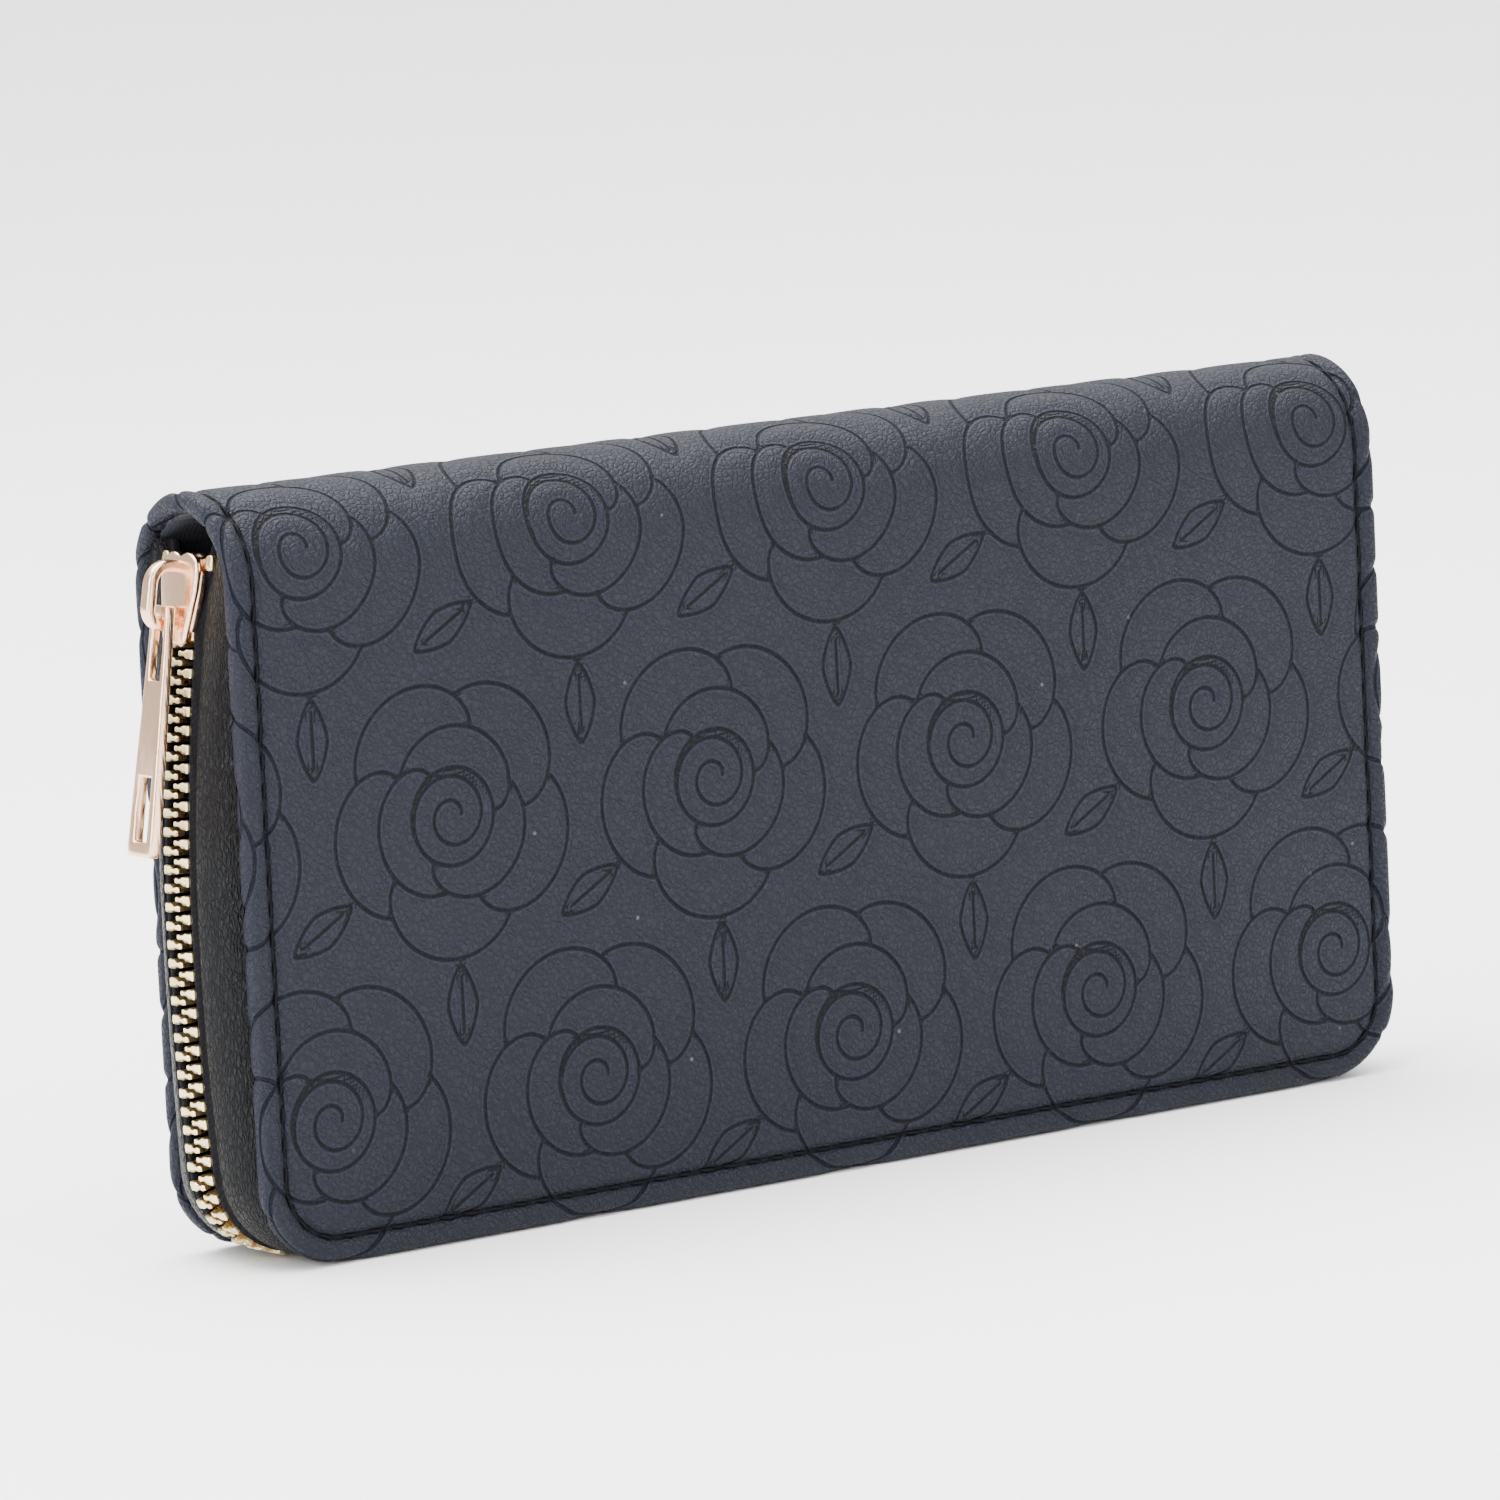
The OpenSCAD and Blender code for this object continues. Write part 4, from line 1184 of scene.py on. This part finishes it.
def on_slider(points, lean=SLIDER_A, mirrored=False):
    """Stands points made in the slider's frame, outwards as -X, on the zip's upper arc at that lean."""
    x, y, z = points.T
    cx = UPPER_X - ARC_R * math.cos(lean)
    cz = BOW_Z + ARC_R * math.sin(lean)
    placed_x = cx + x * math.cos(lean) + z * math.sin(lean)
    placed_z = cz - x * math.sin(lean) + z * math.cos(lean)
    return np.stack([-placed_x if mirrored else placed_x, y, placed_z], 1)


def upright(outline_yz, low, high, bevel, steps=3, dome=0.0):
    """A plate whose outline is in Y and Z and whose faces are at x = -low and x = -high, the domed one
    outermost."""
    points, faces = plate(outline_yz, low, high, bevel, steps, dome)
    return np.stack([-points[:, 2], points[:, 0], points[:, 1]], 1), faces


class WALLET_OT_zip_stops(bpy.types.Operator):
    """Clamps the two small stops above the slider and the wide one at the zip's far end"""

    bl_idname = "wallet.zip_stops"
    bl_label = "Zip stops"

    def execute(self, context):
        small = rounded_box_outline(1.5, 2.1, 0.5)
        for half, side in HALVES.items():
            points, faces = upright(small + [5.1, 0], 0.0, 1.35, 0.3, dome=0.1)
            points = on_slider(points, SLIDER_A + math.radians(TOP_STOP_A))
            closed_piece(
                f"{half}_top_stop", [(points, faces)], "zip_metal", f"{half}_half", [f"top_stop_{half}"], side
            )
        wide = rounded_box_outline(5.8, 2.2, 0.6)
        points, faces = upright(wide, -1.5, 1.55, 0.35, dome=0.15)
        points = on_slider(points, SLIDER_A + math.radians(END_STOP_A), mirrored=True)
        closed_piece("end_stop", [(points, faces)], "zip_metal", "back_half", ["bottom_stop"])
        return {"FINISHED"}


def slider_outline():
    """Outline of the slider's plate: two lobes at the top, then straight sides drawing in to the narrow
    end."""
    turn = np.linspace(-0.1, 1.0, 10) * math.pi * 0.62
    lobe = np.stack([1.65 + 2.5 * np.cos(turn), 2.8 + 2.5 * np.sin(turn)], 1)
    low = np.array([[1.7, -6.5], [2.25, -6.3], [2.5, -5.8], [3.3, -2.4], [4.0, 0.6]])
    right = np.concatenate([low, lobe])
    dip = np.array([[0.0, 4.75]])
    left = right[::-1] * [-1, 1]
    return np.concatenate([right, dip, left])


class WALLET_OT_slider(bpy.types.Operator):
    """Casts the slider: two plates joined by a post and side flanges, and the hooked bail on the outer
    plate"""

    bl_idname = "wallet.slider"
    bl_label = "Slider"

    def execute(self, context):
        outline = slider_outline()
        outer = upright(outline, 1.35, 2.35, 0.4, dome=0.25)
        inner = upright(outline, -2.25, -1.35, 0.35)
        parts = [outer, inner, upright(rounded_box_outline(1.6, 2.4, 0.4) + [0, 3.6], -1.4, 1.4, 0.05)]
        for side in (-1, 1):
            z = np.linspace(-4.8, 3.0, 12)
            reach = np.interp(z, [-5.8, -2.4, 0.6, 2.8], [2.6, 3.35, 4.0, 4.1]) - 0.38
            centre = np.stack([0 * z, side * reach, z], 1)
            across = np.broadcast_to(np.array([1.0, 0, 0]), centre.shape)
            way = np.broadcast_to(np.array([0, 1.0, 0]), centre.shape)
            for low, high in ((-1.5, -0.6), (0.6, 1.5)):
                profile = rounded_box_outline(high - low, 0.72, 0.16, 2) + [(low + high) / 2, 0]
                parts.append(swept(centre, across, way, profile))
        parts = [(on_slider(p), f) for p, f in parts]
        closed_piece("slider_shell", parts, "rose_gold_metal", "zip_slider", ["slider_body"])
        bend = np.linspace(0, math.pi / 2, 9)
        path = np.concatenate(
            [
                [[-1.9, 3.3], [-2.5, 3.4], [-3.2, 3.42]],
                np.stack([-3.9 - 2.5 * np.sin(bend), 0.9 + 2.5 * np.cos(bend)], 1),
                np.stack([-4.4 - 2.0 * np.cos(bend), -2.25 - 2.0 * np.sin(bend)], 1),
                [[-3.4, -4.25], [-2.6, -4.25], [-1.9, -4.2]],
            ]
        )
        run = np.concatenate([[0], np.cumsum(np.linalg.norm(np.diff(path, axis=0), axis=1))])
        at = np.linspace(0, run[-1], 70)
        path = np.stack([np.interp(at, run, path[:, k]) for k in (0, 1)], 1)
        tangent = np.gradient(path, axis=0)
        tangent /= np.linalg.norm(tangent, axis=1)[:, None]
        zero = 0 * at
        centre = np.stack([path[:, 0], zero, path[:, 1]], 1)
        normal = np.stack([tangent[:, 1], zero, -tangent[:, 0]], 1)
        across = np.broadcast_to(np.array([0, 1.0, 0]), centre.shape)
        swell = 0.86 + 0.24 * np.sin(math.pi * at / run[-1]) ** 2
        profile = rounded_box_outline(1.7, 1.5, 0.42, 4)[None] * np.stack([swell, 1 + zero], 1)[:, None]
        points, faces = swept(centre, across, normal, profile)
        closed_piece(
            "slider_hook", [(on_slider(points), faces)], "rose_gold_metal", "zip_slider", ["slider_bail"]
        )
        return {"FINISHED"}


class WALLET_OT_puller(bpy.types.Operator):
    """Makes the tapered puller: two rails round the eye, a solid bar, and a short window near its end"""

    bl_idname = "wallet.puller"
    bl_label = "Puller"

    def execute(self, context):
        long = context.scene.wallet_zip.puller / MM
        z = np.array(
            [0.75, -0.75, -5.0, -8.9, -14.0, -long + 10.2, -long + 6.2, -long + 1.9, -long + 0.7, -long]
        )
        half = np.interp(-z, [-1, 0, long - 0.9, long], [1.75, 1.95, 2.8, 2.4])
        rail = np.interp(-z, [-1, 10, long], [0.72, 0.95, 1.35])
        columns = np.stack([-half, -half + rail, half - rail, half], 1)
        y = columns.ravel()
        zz = np.repeat(z, 4)
        sheet_points = np.stack([0 * y, y, zz], 1)
        quads = grid(len(z), 4)
        row, col = np.divmod(np.arange(len(quads)), 3)
        hole = (col == 1) & ((row == 1) | (row == 2) | (row == 5) | (row == 6))
        quads = quads[~hole]
        thick = np.interp(-zz, [-1, 2, long], [0.78, 0.62, 0.85])
        depth = np.stack([thick, 0 * y, 0 * y], 1)
        count = len(sheet_points)
        edges = np.concatenate([quads[:, [k, (k + 1) % 4]] for k in range(4)])
        keys = np.sort(edges, 1) @ np.array([count, 1])
        _, where, number = np.unique(keys, return_index=True, return_counts=True)
        rim = edges[where[number == 1]]
        walls = np.stack([rim[:, 1], rim[:, 0], rim[:, 0] + count, rim[:, 1] + count], 1)
        points = np.concatenate([sheet_points - depth, sheet_points + depth])
        faces = [quads, quads[:, ::-1] + count, walls]
        swing = math.radians(PULLER_SWING)
        x, yy, zz = points.T
        turned_x = x * math.cos(swing) + zz * math.sin(swing)
        turned_z = zz * math.cos(swing) - x * math.sin(swing)
        turned = np.stack([turned_x, yy, turned_z], 1)
        eye = on_slider(np.array([[-4.05, 0.0, -2.45]]))[0]
        made = closed_piece(
            "puller", [(turned + eye, faces)], "rose_gold_metal", "zip_pull", ["zip_puller"], smooth=True
        )
        soften(made, 0.32, 3)
        return {"FINISHED"}


class WALLET_OT_linings(bpy.types.Operator):
    """Lines the inside of both covers and the spine with woven cloth"""

    bl_idname = "wallet.linings"
    bl_label = "Linings"

    def execute(self, context):
        for name, low, high, body, nodes in (
            ("front_lining", 1.9 + 0.3, JOIN_Z, "front_half", ["lining_front"]),
            ("spine_lining", JOIN_Z, SHEET_V - JOIN_Z, None, []),
            ("back_lining", SHEET_V - JOIN_Z, SHEET_V - 2.2, "back_half", ["lining_back"]),
        ):
            points, faces, _ = sheet(
                low, high, 1.9, 0.3, 0.65, 0.6, 1.2, depth=COVER_T + 0.12, side=-1, tuck=0.0
            )
            made = piece(name, points, faces, finish_for("lining_fabric"), body, nodes)
            if not body:
                blend_over_spine(made)
        return {"FINISHED"}


def pocket(x_half, y_near, y_far, low, high, hem, seams, wave):
    """A flat pocket strip about the middle plane: a thin profile in depth and height with a turned hem
    round its low mouth, carried along X, drawn in at the seams by wave."""
    x = np.linspace(-x_half, x_half, 175)
    mid = (y_near + y_far) / 2
    half = (y_far - y_near) / 2
    turn = np.linspace(-math.pi * 0.8, math.pi * 0.8, 11)
    mouth = np.stack([mid - hem * np.sin(turn) * 0.9, low + hem - hem * np.cos(turn)], 1)
    rise = np.linspace(low + 2.2 * hem, high, 14)
    near = np.stack([np.full(14, mid - half), rise], 1)
    far = np.stack([np.full(14, mid + half), rise[::-1]], 1)
    profile = np.concatenate([mouth, near, far])
    dip = sum((np.exp(-(((x - s) / 1.1) ** 2)) for s in seams), 0 * x)
    centre = np.stack([x, 0 * x, 0 * x], 1)
    side = np.broadcast_to(np.array([0.0, 1.0, 0.0]), centre.shape)
    up = np.broadcast_to(np.array([0.0, 0.0, 1.0]), centre.shape)
    shapes = np.broadcast_to(profile, (len(x),) + profile.shape).copy()
    near_part = np.concatenate([np.ones(11), np.ones(14), np.zeros(14)])
    shapes[:, :, 0] += (wave * dip)[:, None] * near_part
    return swept(centre, side, up, shapes)


def seam_row(x0, z0, x1, z1, y, pitch=3.2, wide=0.5):
    """A row of raised stitches on the face at depth y, from one point to another."""
    run = math.hypot(x1 - x0, z1 - z0)
    count = max(int(run / pitch), 1)
    at = (np.arange(count) + 0.5) / count
    wx, wz = (x1 - x0) / run, (z1 - z0) / run
    long = np.array([-1.2, -0.9, 0.0, 0.9, 1.2])
    thick = np.array([0.0, 0.6, 1.0, 0.6, 0.0]) * wide / 2
    turn = np.arange(6) * math.pi / 3
    a = (long[:, None] + 0 * turn).ravel()
    b = (thick[:, None] * np.cos(turn)).ravel()
    up = (thick[:, None] * np.sin(turn)).ravel() * 0.7 - np.repeat([0.25, 0.06, 0, 0.06, 0.25], 6)
    x = (x0 + (x1 - x0) * at)[:, None] + a * wx - b * wz
    z = (z0 + (z1 - z0) * at)[:, None] + a * wz + b * wx
    points = np.stack([x, y - up + 0 * x, z], -1).reshape(-1, 3)
    return points, repeated(len(a), [grid(5, 6, False, True)], count)


class WALLET_OT_pockets(bpy.types.Operator):
    """Makes the note panel and the stepped card strips in each half, with their mouths towards the zip"""

    bl_idname = "wallet.pockets"
    bl_label = "Pockets"

    def execute(self, context):
        sizes = context.scene.wallet_inside
        hem, thick = sizes.hem / MM, sizes.strip / MM
        for half, side in HALVES.items():
            body = f"{half}_half"
            names = [f"bill_panel_{half}"] + [f"card_strip_{half}_{k + 1}" for k in range(sizes.rows)]
            for k, node in enumerate(names):
                low, high = node_box(node)
                near = 8.5 - thick * k
                parts = [
                    pocket(
                        high[0],
                        near,
                        near + thick,
                        low[2],
                        high[2],
                        hem,
                        (-high[0] + 1.5, 0, high[0] - 1.5),
                        0.12,
                    )
                ]
                closed_piece(f"{half}_pocket_{k}", parts, "inner_leather", body, [node], side)
                rows = [(-high[0] + 2, low[2] + 2.4, high[0] - 2, low[2] + 2.4)]
                if k:
                    rows.append((0.0, low[2] + 2.4, 0.0, min(low[2] + 12, high[2] - 1)))
                    rows += [
                        (e * (high[0] - 1.5), low[2] + 1, e * (high[0] - 1.5), min(low[2] + 12, high[2] - 1))
                        for e in (-1, 1)
                    ]
                sewn = [seam_row(*r, near - 0.02) for r in rows]
                closed_piece(f"{half}_pocket_stitches_{k}", sewn, "thread", body, [], side)
        return {"FINISHED"}


class WALLET_OT_coin_leaf(bpy.types.Operator):
    """Makes the coin leaf in the middle: two leather walls, its cloth bag, the binding and the hinge strip"""

    bl_idname = "wallet.coin_leaf"
    bl_label = "Coin leaf"

    def execute(self, context):
        for half, side in HALVES.items():
            low, high = node_box(f"coin_wall_{half}")
            parts = [pocket(high[0], 1.0, 1.7, low[2], high[2], 0.35, (), 0.0)]
            points, faces = parts[0]
            wide = (points - [0, 2.7, 0]) * [1, -1, 1]
            closed_piece(
                f"coin_{half}_wall",
                [(wide, faces)],
                "inner_leather",
                "coin_leaf",
                [f"coin_wall_{half}"],
                side,
            )
            edge = high[0] - 2.2
            rows = [
                (-edge, low[2] + 2.2, edge, low[2] + 2.2),
                (-edge, low[2] + 4, -edge, high[2] - 2),
                (edge, low[2] + 4, edge, high[2] - 2),
            ]
            sewn = [seam_row(*r, 1.72) for r in rows]
            flipped = [((p - [0, 1.72, 0]) * [1, -1, 1] + [0, 1.72, 0], f) for p, f in sewn]
            closed_piece(f"coin_{half}_wall_stitches", flipped, "thread", "coin_leaf", [], side)
        low, high = node_box("leaf_binding")
        bottom, top, end = low[2], high[2] - 0.6, high[0] - 0.6
        turn = np.linspace(0, math.pi / 2, 10)
        r = 2.0
        path = np.concatenate(
            [
                np.stack([np.full(30, -end), np.linspace(bottom, top - r, 30)], 1),
                np.stack([-end + r - r * np.cos(turn), top - r + r * np.sin(turn)], 1),
                np.stack([np.linspace(-end + r, end - r, 80), np.full(80, top)], 1)[1:-1],
                np.stack([end - r + r * np.sin(turn), top - r + r * np.cos(turn)], 1),
                np.stack([np.full(30, end), np.linspace(top - r, bottom, 30)], 1),
            ]
        )
        tangent = np.gradient(path, axis=0)
        tangent /= np.linalg.norm(tangent, axis=1)[:, None]
        zero = np.zeros(len(path))
        centre = np.stack([path[:, 0], zero, path[:, 1]], 1)
        normal = np.stack([tangent[:, 1], zero, -tangent[:, 0]], 1)
        across = np.broadcast_to(np.array([0, 1.0, 0]), centre.shape)
        parts = [swept(centre, across, normal, rounded_box_outline(3.4, 1.5, 0.65, 5))]
        closed_piece("coin_leaf_binding", parts, "inner_leather", "coin_leaf", ["leaf_binding"])
        low, high = node_box("leaf_hinge_strip")
        x = np.linspace(low[0], high[0], 120)
        centre = np.stack([x, 0 * x, np.full_like(x, (low[2] + high[2]) / 2)], 1)
        side = np.broadcast_to(np.array([0, 1.0, 0]), centre.shape)
        up = np.broadcast_to(np.array([0, 0, 1.0]), centre.shape)
        ribs = 1 + 0.12 * np.sin(x * 2.1)[:, None, None]
        profile = rounded_box_outline(1.2, 1.0, 0.3, 3)[None] * ribs
        closed_piece(
            "coin_leaf_hinge",
            [swept(centre, side, up, profile)],
            "lining_fabric",
            "coin_leaf",
            ["leaf_hinge_strip"],
        )
        give_finish("coin_bag", "lining_fabric")
        return {"FINISHED"}


def give_finish(node, name):
    """Puts a finish on a CAD node that stays."""
    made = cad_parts[node]
    made.data.materials.clear()
    made.data.materials.append(finish_for(name))


class WALLET_OT_coin_zip(bpy.types.Operator):
    """Makes the coin leaf's zip: tapes, coils, stops, slider, bail and puller"""

    bl_idname = "wallet.coin_zip"
    bl_label = "Coin zip"

    def execute(self, context):
        pitch = context.scene.wallet_inside.coil / MM
        for half, side in HALVES.items():
            low, high = node_box(f"coin_tape_{half}")
            x = np.linspace(low[0], high[0], 160)
            centre = np.stack([x, 0 * x, 0 * x], 1)
            across = np.broadcast_to(np.array([0, 1.0, 0]), centre.shape)
            up = np.broadcast_to(np.array([0, 0, 1.0]), centre.shape)
            outline = rounded_box_outline(0.35, high[2] - low[2] + 0.8, 0.12, 2)
            outline = outline + [0.82, (high[2] + low[2]) / 2 - 0.4]
            closed_piece(
                f"coin_{half}_tape",
                [swept(centre, across, up, outline)],
                "zip_tape",
                "coin_leaf",
                [f"coin_tape_{half}"],
                side,
            )
            low, high = node_box(f"coin_coil_{half}")
            turns = int((high[0] - low[0]) / pitch)
            t = np.linspace(0, turns, turns * 12 + 1)
            angle = 2 * math.pi * t
            shift = 0.0 if side < 0 else pitch / 2
            y = 0.78 - 0.55 * np.cos(angle)
            z = (low[2] + high[2]) / 2 + 0.42 * np.sin(angle)
            path = np.stack([low[0] + shift * 0.9 + t * pitch * 0.985, y, z], 1)
            tangent = np.gradient(path, axis=0)
            tangent /= np.linalg.norm(tangent, axis=1)[:, None]
            one = np.cross(tangent, np.array([1.0, 0, 0]))
            one /= np.linalg.norm(one, axis=1)[:, None]
            two = np.cross(tangent, one)
            turn = np.arange(6) * math.pi / 3
            profile = np.stack([0.24 * np.cos(turn), 0.24 * np.sin(turn)], 1)
            closed_piece(
                f"coin_{half}_coil",
                [swept(path, one, two, profile)],
                "coil_plastic",
                "coin_leaf",
                [f"coin_coil_{half}"],
                side,
            )
        for node, name in (("coin_top_stop", "coin_start_stop"), ("coin_bottom_stop", "coin_end_stop")):
            low, high = node_box(node)
            centre = (low + high) / 2 - [0, MID_Y, 0]
            points, faces = plate(rounded_box_outline(1.6, 2.8, 0.4), -0.8, 0.8, 0.25)
            closed_piece(name, [(points + centre, faces)], "zip_metal", "coin_leaf", [node])
        low, high = node_box("coin_slider")
        cx = (low[0] + high[0]) / 2
        turn = np.linspace(0, 2 * math.pi, 40, endpoint=False)
        long = 4.2 * np.sign(np.cos(turn)) * np.abs(np.cos(turn)) ** 0.55
        wide = 2.6 * np.sign(np.sin(turn)) * np.abs(np.sin(turn)) ** 0.7 * (1 - 0.12 * np.cos(turn))
        points, faces = plate(np.stack([long, -wide], 1), -low[2] - 1.3, -low[2], 0.35, dome=0.15)
        parts = [(points * [1, 1, -1] + [cx, 0, 0], faces)]
        x = np.linspace(-4.0, 4.0, 14)
        for side in (-1, 1):
            centre = np.stack(
                [cx + x, side * (2.2 - 0.1 * np.cos(x / 4.0 * math.pi)), 0 * x + low[2] + 2.2], 1
            )
            across = np.broadcast_to(np.array([0, 1.0, 0]), centre.shape)
            up = np.broadcast_to(np.array([0, 0, 1.0]), centre.shape)
            parts.append(swept(centre, across, up, rounded_box_outline(0.65, 2.1, 0.2, 2)))
        centre = np.stack([cx + x, 0 * x, 0 * x + low[2] + 3.8], 1)
        parts.append(swept(centre, across, up, rounded_box_outline(0.7, 0.8, 0.2, 2)))
        post, post_faces = plate(rounded_box_outline(1.4, 0.6, 0.2), low[2] + 1.2, low[2] + 3.6, 0.05)
        parts.append((post + [cx - 3.5, 0, 0], post_faces))
        closed_piece("coin_slider_shell", parts, "rose_gold_metal", "coin_zip_slider", ["coin_slider"])
        low, high = node_box("coin_bail")
        bend = np.linspace(0, math.pi, 25)
        centre = np.stack(
            [
                cx - 2.5 * np.cos(bend),
                0 * bend,
                high[2] + 0.4 - (high[2] - low[2] + 0.1) * np.sin(bend) ** 0.6,
            ], 1
        )
        tangent = np.gradient(centre, axis=0)
        tangent /= np.linalg.norm(tangent, axis=1)[:, None]
        across = np.broadcast_to(np.array([0, 1.0, 0]), centre.shape)
        normal = np.cross(tangent, across)
        parts = [swept(centre, across, normal, rounded_box_outline(1.0, 0.6, 0.22, 3))]
        closed_piece("coin_slider_hook", parts, "rose_gold_metal", "coin_zip_slider", ["coin_bail"])
        low, high = node_box("coin_puller")
        turn = np.linspace(0, 2 * math.pi, 48, endpoint=False)
        length_z, middle_z = high[2] - low[2], (high[2] + low[2]) / 2
        ring_y = 1.6 * np.sign(np.sin(turn)) * np.abs(np.sin(turn)) ** 0.6
        ring_z = middle_z + length_z / 2 * np.sign(np.cos(turn)) * np.abs(np.cos(turn)) ** 0.5
        hole_z = high[2] - 2.9 + 2.1 * np.sign(np.cos(turn)) * np.abs(np.cos(turn)) ** 0.5
        hole_y = ring_y / 2
        steps = np.array([0.0, 0.12, 0.88, 1.0])
        half_t = np.array([0.2, 0.4, 0.4, 0.2])
        share = steps[:, None, None]
        hole_line = np.stack([hole_y, hole_z], 1)[None]
        outer_line = np.stack([ring_y, ring_z], 1)[None]
        ring = hole_line * (1 - share) + outer_line * share
        rings = np.concatenate([ring, ring[::-1]])
        depth = np.concatenate([-half_t, half_t[::-1]])
        points = np.stack([cx + depth[:, None] + 0 * rings[..., 0], rings[..., 0], rings[..., 1]], -1)
        faces = [grid(8, 48, True, True)]
        closed_piece(
            "coin_pull_tab",
            [(points.reshape(-1, 3), faces)],
            "rose_gold_metal",
            "coin_zip_pull",
            ["coin_puller"],
        )
        return {"FINISHED"}


class WALLET_OT_stiffeners(bpy.types.Operator):
    """Gives the boards and the spine's padding, which stay as the frame's own parts, their finishes"""

    bl_idname = "wallet.stiffeners"
    bl_label = "Stiffeners"

    def execute(self, context):
        for half in HALVES:
            give_finish(f"board_{half}", "stiffener_board")
            give_finish(f"spine_pad_{half}", "spine_foam")
        return {"FINISHED"}


class WALLET_OT_stage(bpy.types.Operator):
    """Sets the pale floor, the soft lights and the camera"""

    bl_idname = "wallet.stage"
    bl_label = "Stage"

    def execute(self, context):
        scene = context.scene
        u = np.linspace(-9, 9, 25)
        x, y = np.meshgrid(u, u, indexing="ij")
        points = np.stack([x, y, 0 * x - 0.0002], -1).reshape(-1, 3) / MM
        made, tree, shader, place = material("studio_floor")
        grain = put(
            tree, "ShaderNodeTexNoise", {"Vector": place, "Scale": 40.0, "Detail": 3.0}
        ).outputs["Fac"]
        tone = scene.wallet_finish.floor
        give(tree, shader, mixed(tree, grain, scaled(tone, 0.985), scaled(tone, 1.015)), 0.8, grain, 0.00001)
        mesh = bpy.data.meshes.new("floor")
        mesh.from_pydata((points * MM).tolist(), [], grid(25, 25).tolist())
        mesh.materials.append(made)
        floor = bpy.data.objects.new("floor", mesh)
        scene.collection.objects.link(floor)
        world = bpy.data.worlds.new("studio")
        scene.world = world
        world.use_nodes = True
        world.node_tree.nodes["Background"].inputs["Color"].default_value = (1.0, 1.0, 1.0, 1)
        world.node_tree.nodes["Background"].inputs["Strength"].default_value = 1.0
        target = Vector((0.0, MID_Y, 50.0)) * MM
        for name, place, size, power in (
            ("top_softbox", (-0.2, 0.35, 1.2), 1.2, 36.0),
            ("left_softbox", (-1.3, -0.5, 0.55), 0.9, 24.0),
            ("front_softbox", (0.4, -1.7, 0.8), 1.2, 26.0),
            ("sky_softbox", (0.3, 0.9, 4.5), 9.0, 1100.0),
        ):
            lamp = bpy.data.lights.new(name, "AREA")
            lamp.shape, lamp.size, lamp.energy = "SQUARE", size, power
            light = bpy.data.objects.new(name, lamp)
            scene.collection.objects.link(light)
            light.location = place
            aim = Vector((*place[:2], 0)) if name == "sky_softbox" else target
            light.rotation_euler = (aim - Vector(place)).to_track_quat("-Z", "Y").to_euler()
        yaw, rise, roll, distance = math.radians(-36.29), math.radians(7.71), math.radians(-2.85), 1203.1
        aim = np.array([-6.46, -11.7, 56.39])
        back = np.array([math.sin(yaw) * math.cos(rise), -math.cos(yaw) * math.cos(rise), math.sin(rise)])
        right = np.cross(-back, [0, 0, 1])
        right /= np.linalg.norm(right)
        up = np.cross(right, -back)
        side = math.cos(roll) * right + math.sin(roll) * up
        top = -math.sin(roll) * right + math.cos(roll) * up
        lens = bpy.data.cameras.new("camera")
        lens.lens, lens.sensor_width, lens.clip_end = 216.0, 36.0, 50.0
        camera = bpy.data.objects.new("camera", lens)
        scene.collection.objects.link(camera)
        matrix = Matrix([[*row, 0.0] for row in np.stack([side, top, back], 1)] + [[0, 0, 0, 1]])
        matrix.translation = Vector((aim + distance * back) * MM)
        camera.matrix_world = matrix
        scene.camera = camera
        return {"FINISHED"}


STEPS = (
    WALLET_OT_stage,
    WALLET_OT_outer_leather,
    WALLET_OT_stitching,
    WALLET_OT_gussets,
    WALLET_OT_zip_tapes,
    WALLET_OT_zip_teeth,
    WALLET_OT_zip_stops,
    WALLET_OT_slider,
    WALLET_OT_puller,
    WALLET_OT_linings,
    WALLET_OT_pockets,
    WALLET_OT_coin_leaf,
    WALLET_OT_coin_zip,
    WALLET_OT_stiffeners,
)
GROUPS = {
    "wallet_leather": WalletLeather,
    "wallet_zip": WalletZip,
    "wallet_inside": WalletInside,
    "wallet_finish": WalletFinish,
}


class WALLET_PT_panel(bpy.types.Panel):
    """Lists the wallet's sizes, colours and steps"""

    bl_idname = "WALLET_PT_panel"
    bl_label = "Wallet"
    bl_space_type = "VIEW_3D"
    bl_region_type = "UI"
    bl_category = "Wallet"

    def draw(self, context):
        for key, kind in GROUPS.items():
            box = self.layout.box()
            for name in kind.__annotations__:
                box.prop(getattr(context.scene, key), name)
        for step in STEPS:
            self.layout.operator(step.bl_idname)


def register():
    """Registers the property groups, the steps and the panel."""
    for key, kind in GROUPS.items():
        bpy.utils.register_class(kind)
        setattr(bpy.types.Scene, key, PointerProperty(type=kind))
    for kind in (*STEPS, WALLET_PT_panel):
        bpy.utils.register_class(kind)


def unregister():
    """Takes back what register added."""
    for kind in (WALLET_PT_panel, *reversed(STEPS)):
        bpy.utils.unregister_class(kind)
    for key, kind in reversed(GROUPS.items()):
        delattr(bpy.types.Scene, key)
        bpy.utils.unregister_class(kind)


def main():
    """Builds the wallet step by step."""
    register()
    for step in STEPS:
        area, name = step.bl_idname.split(".")
        getattr(getattr(bpy.ops, area), name)()


if __name__ == "__main__":
    main()
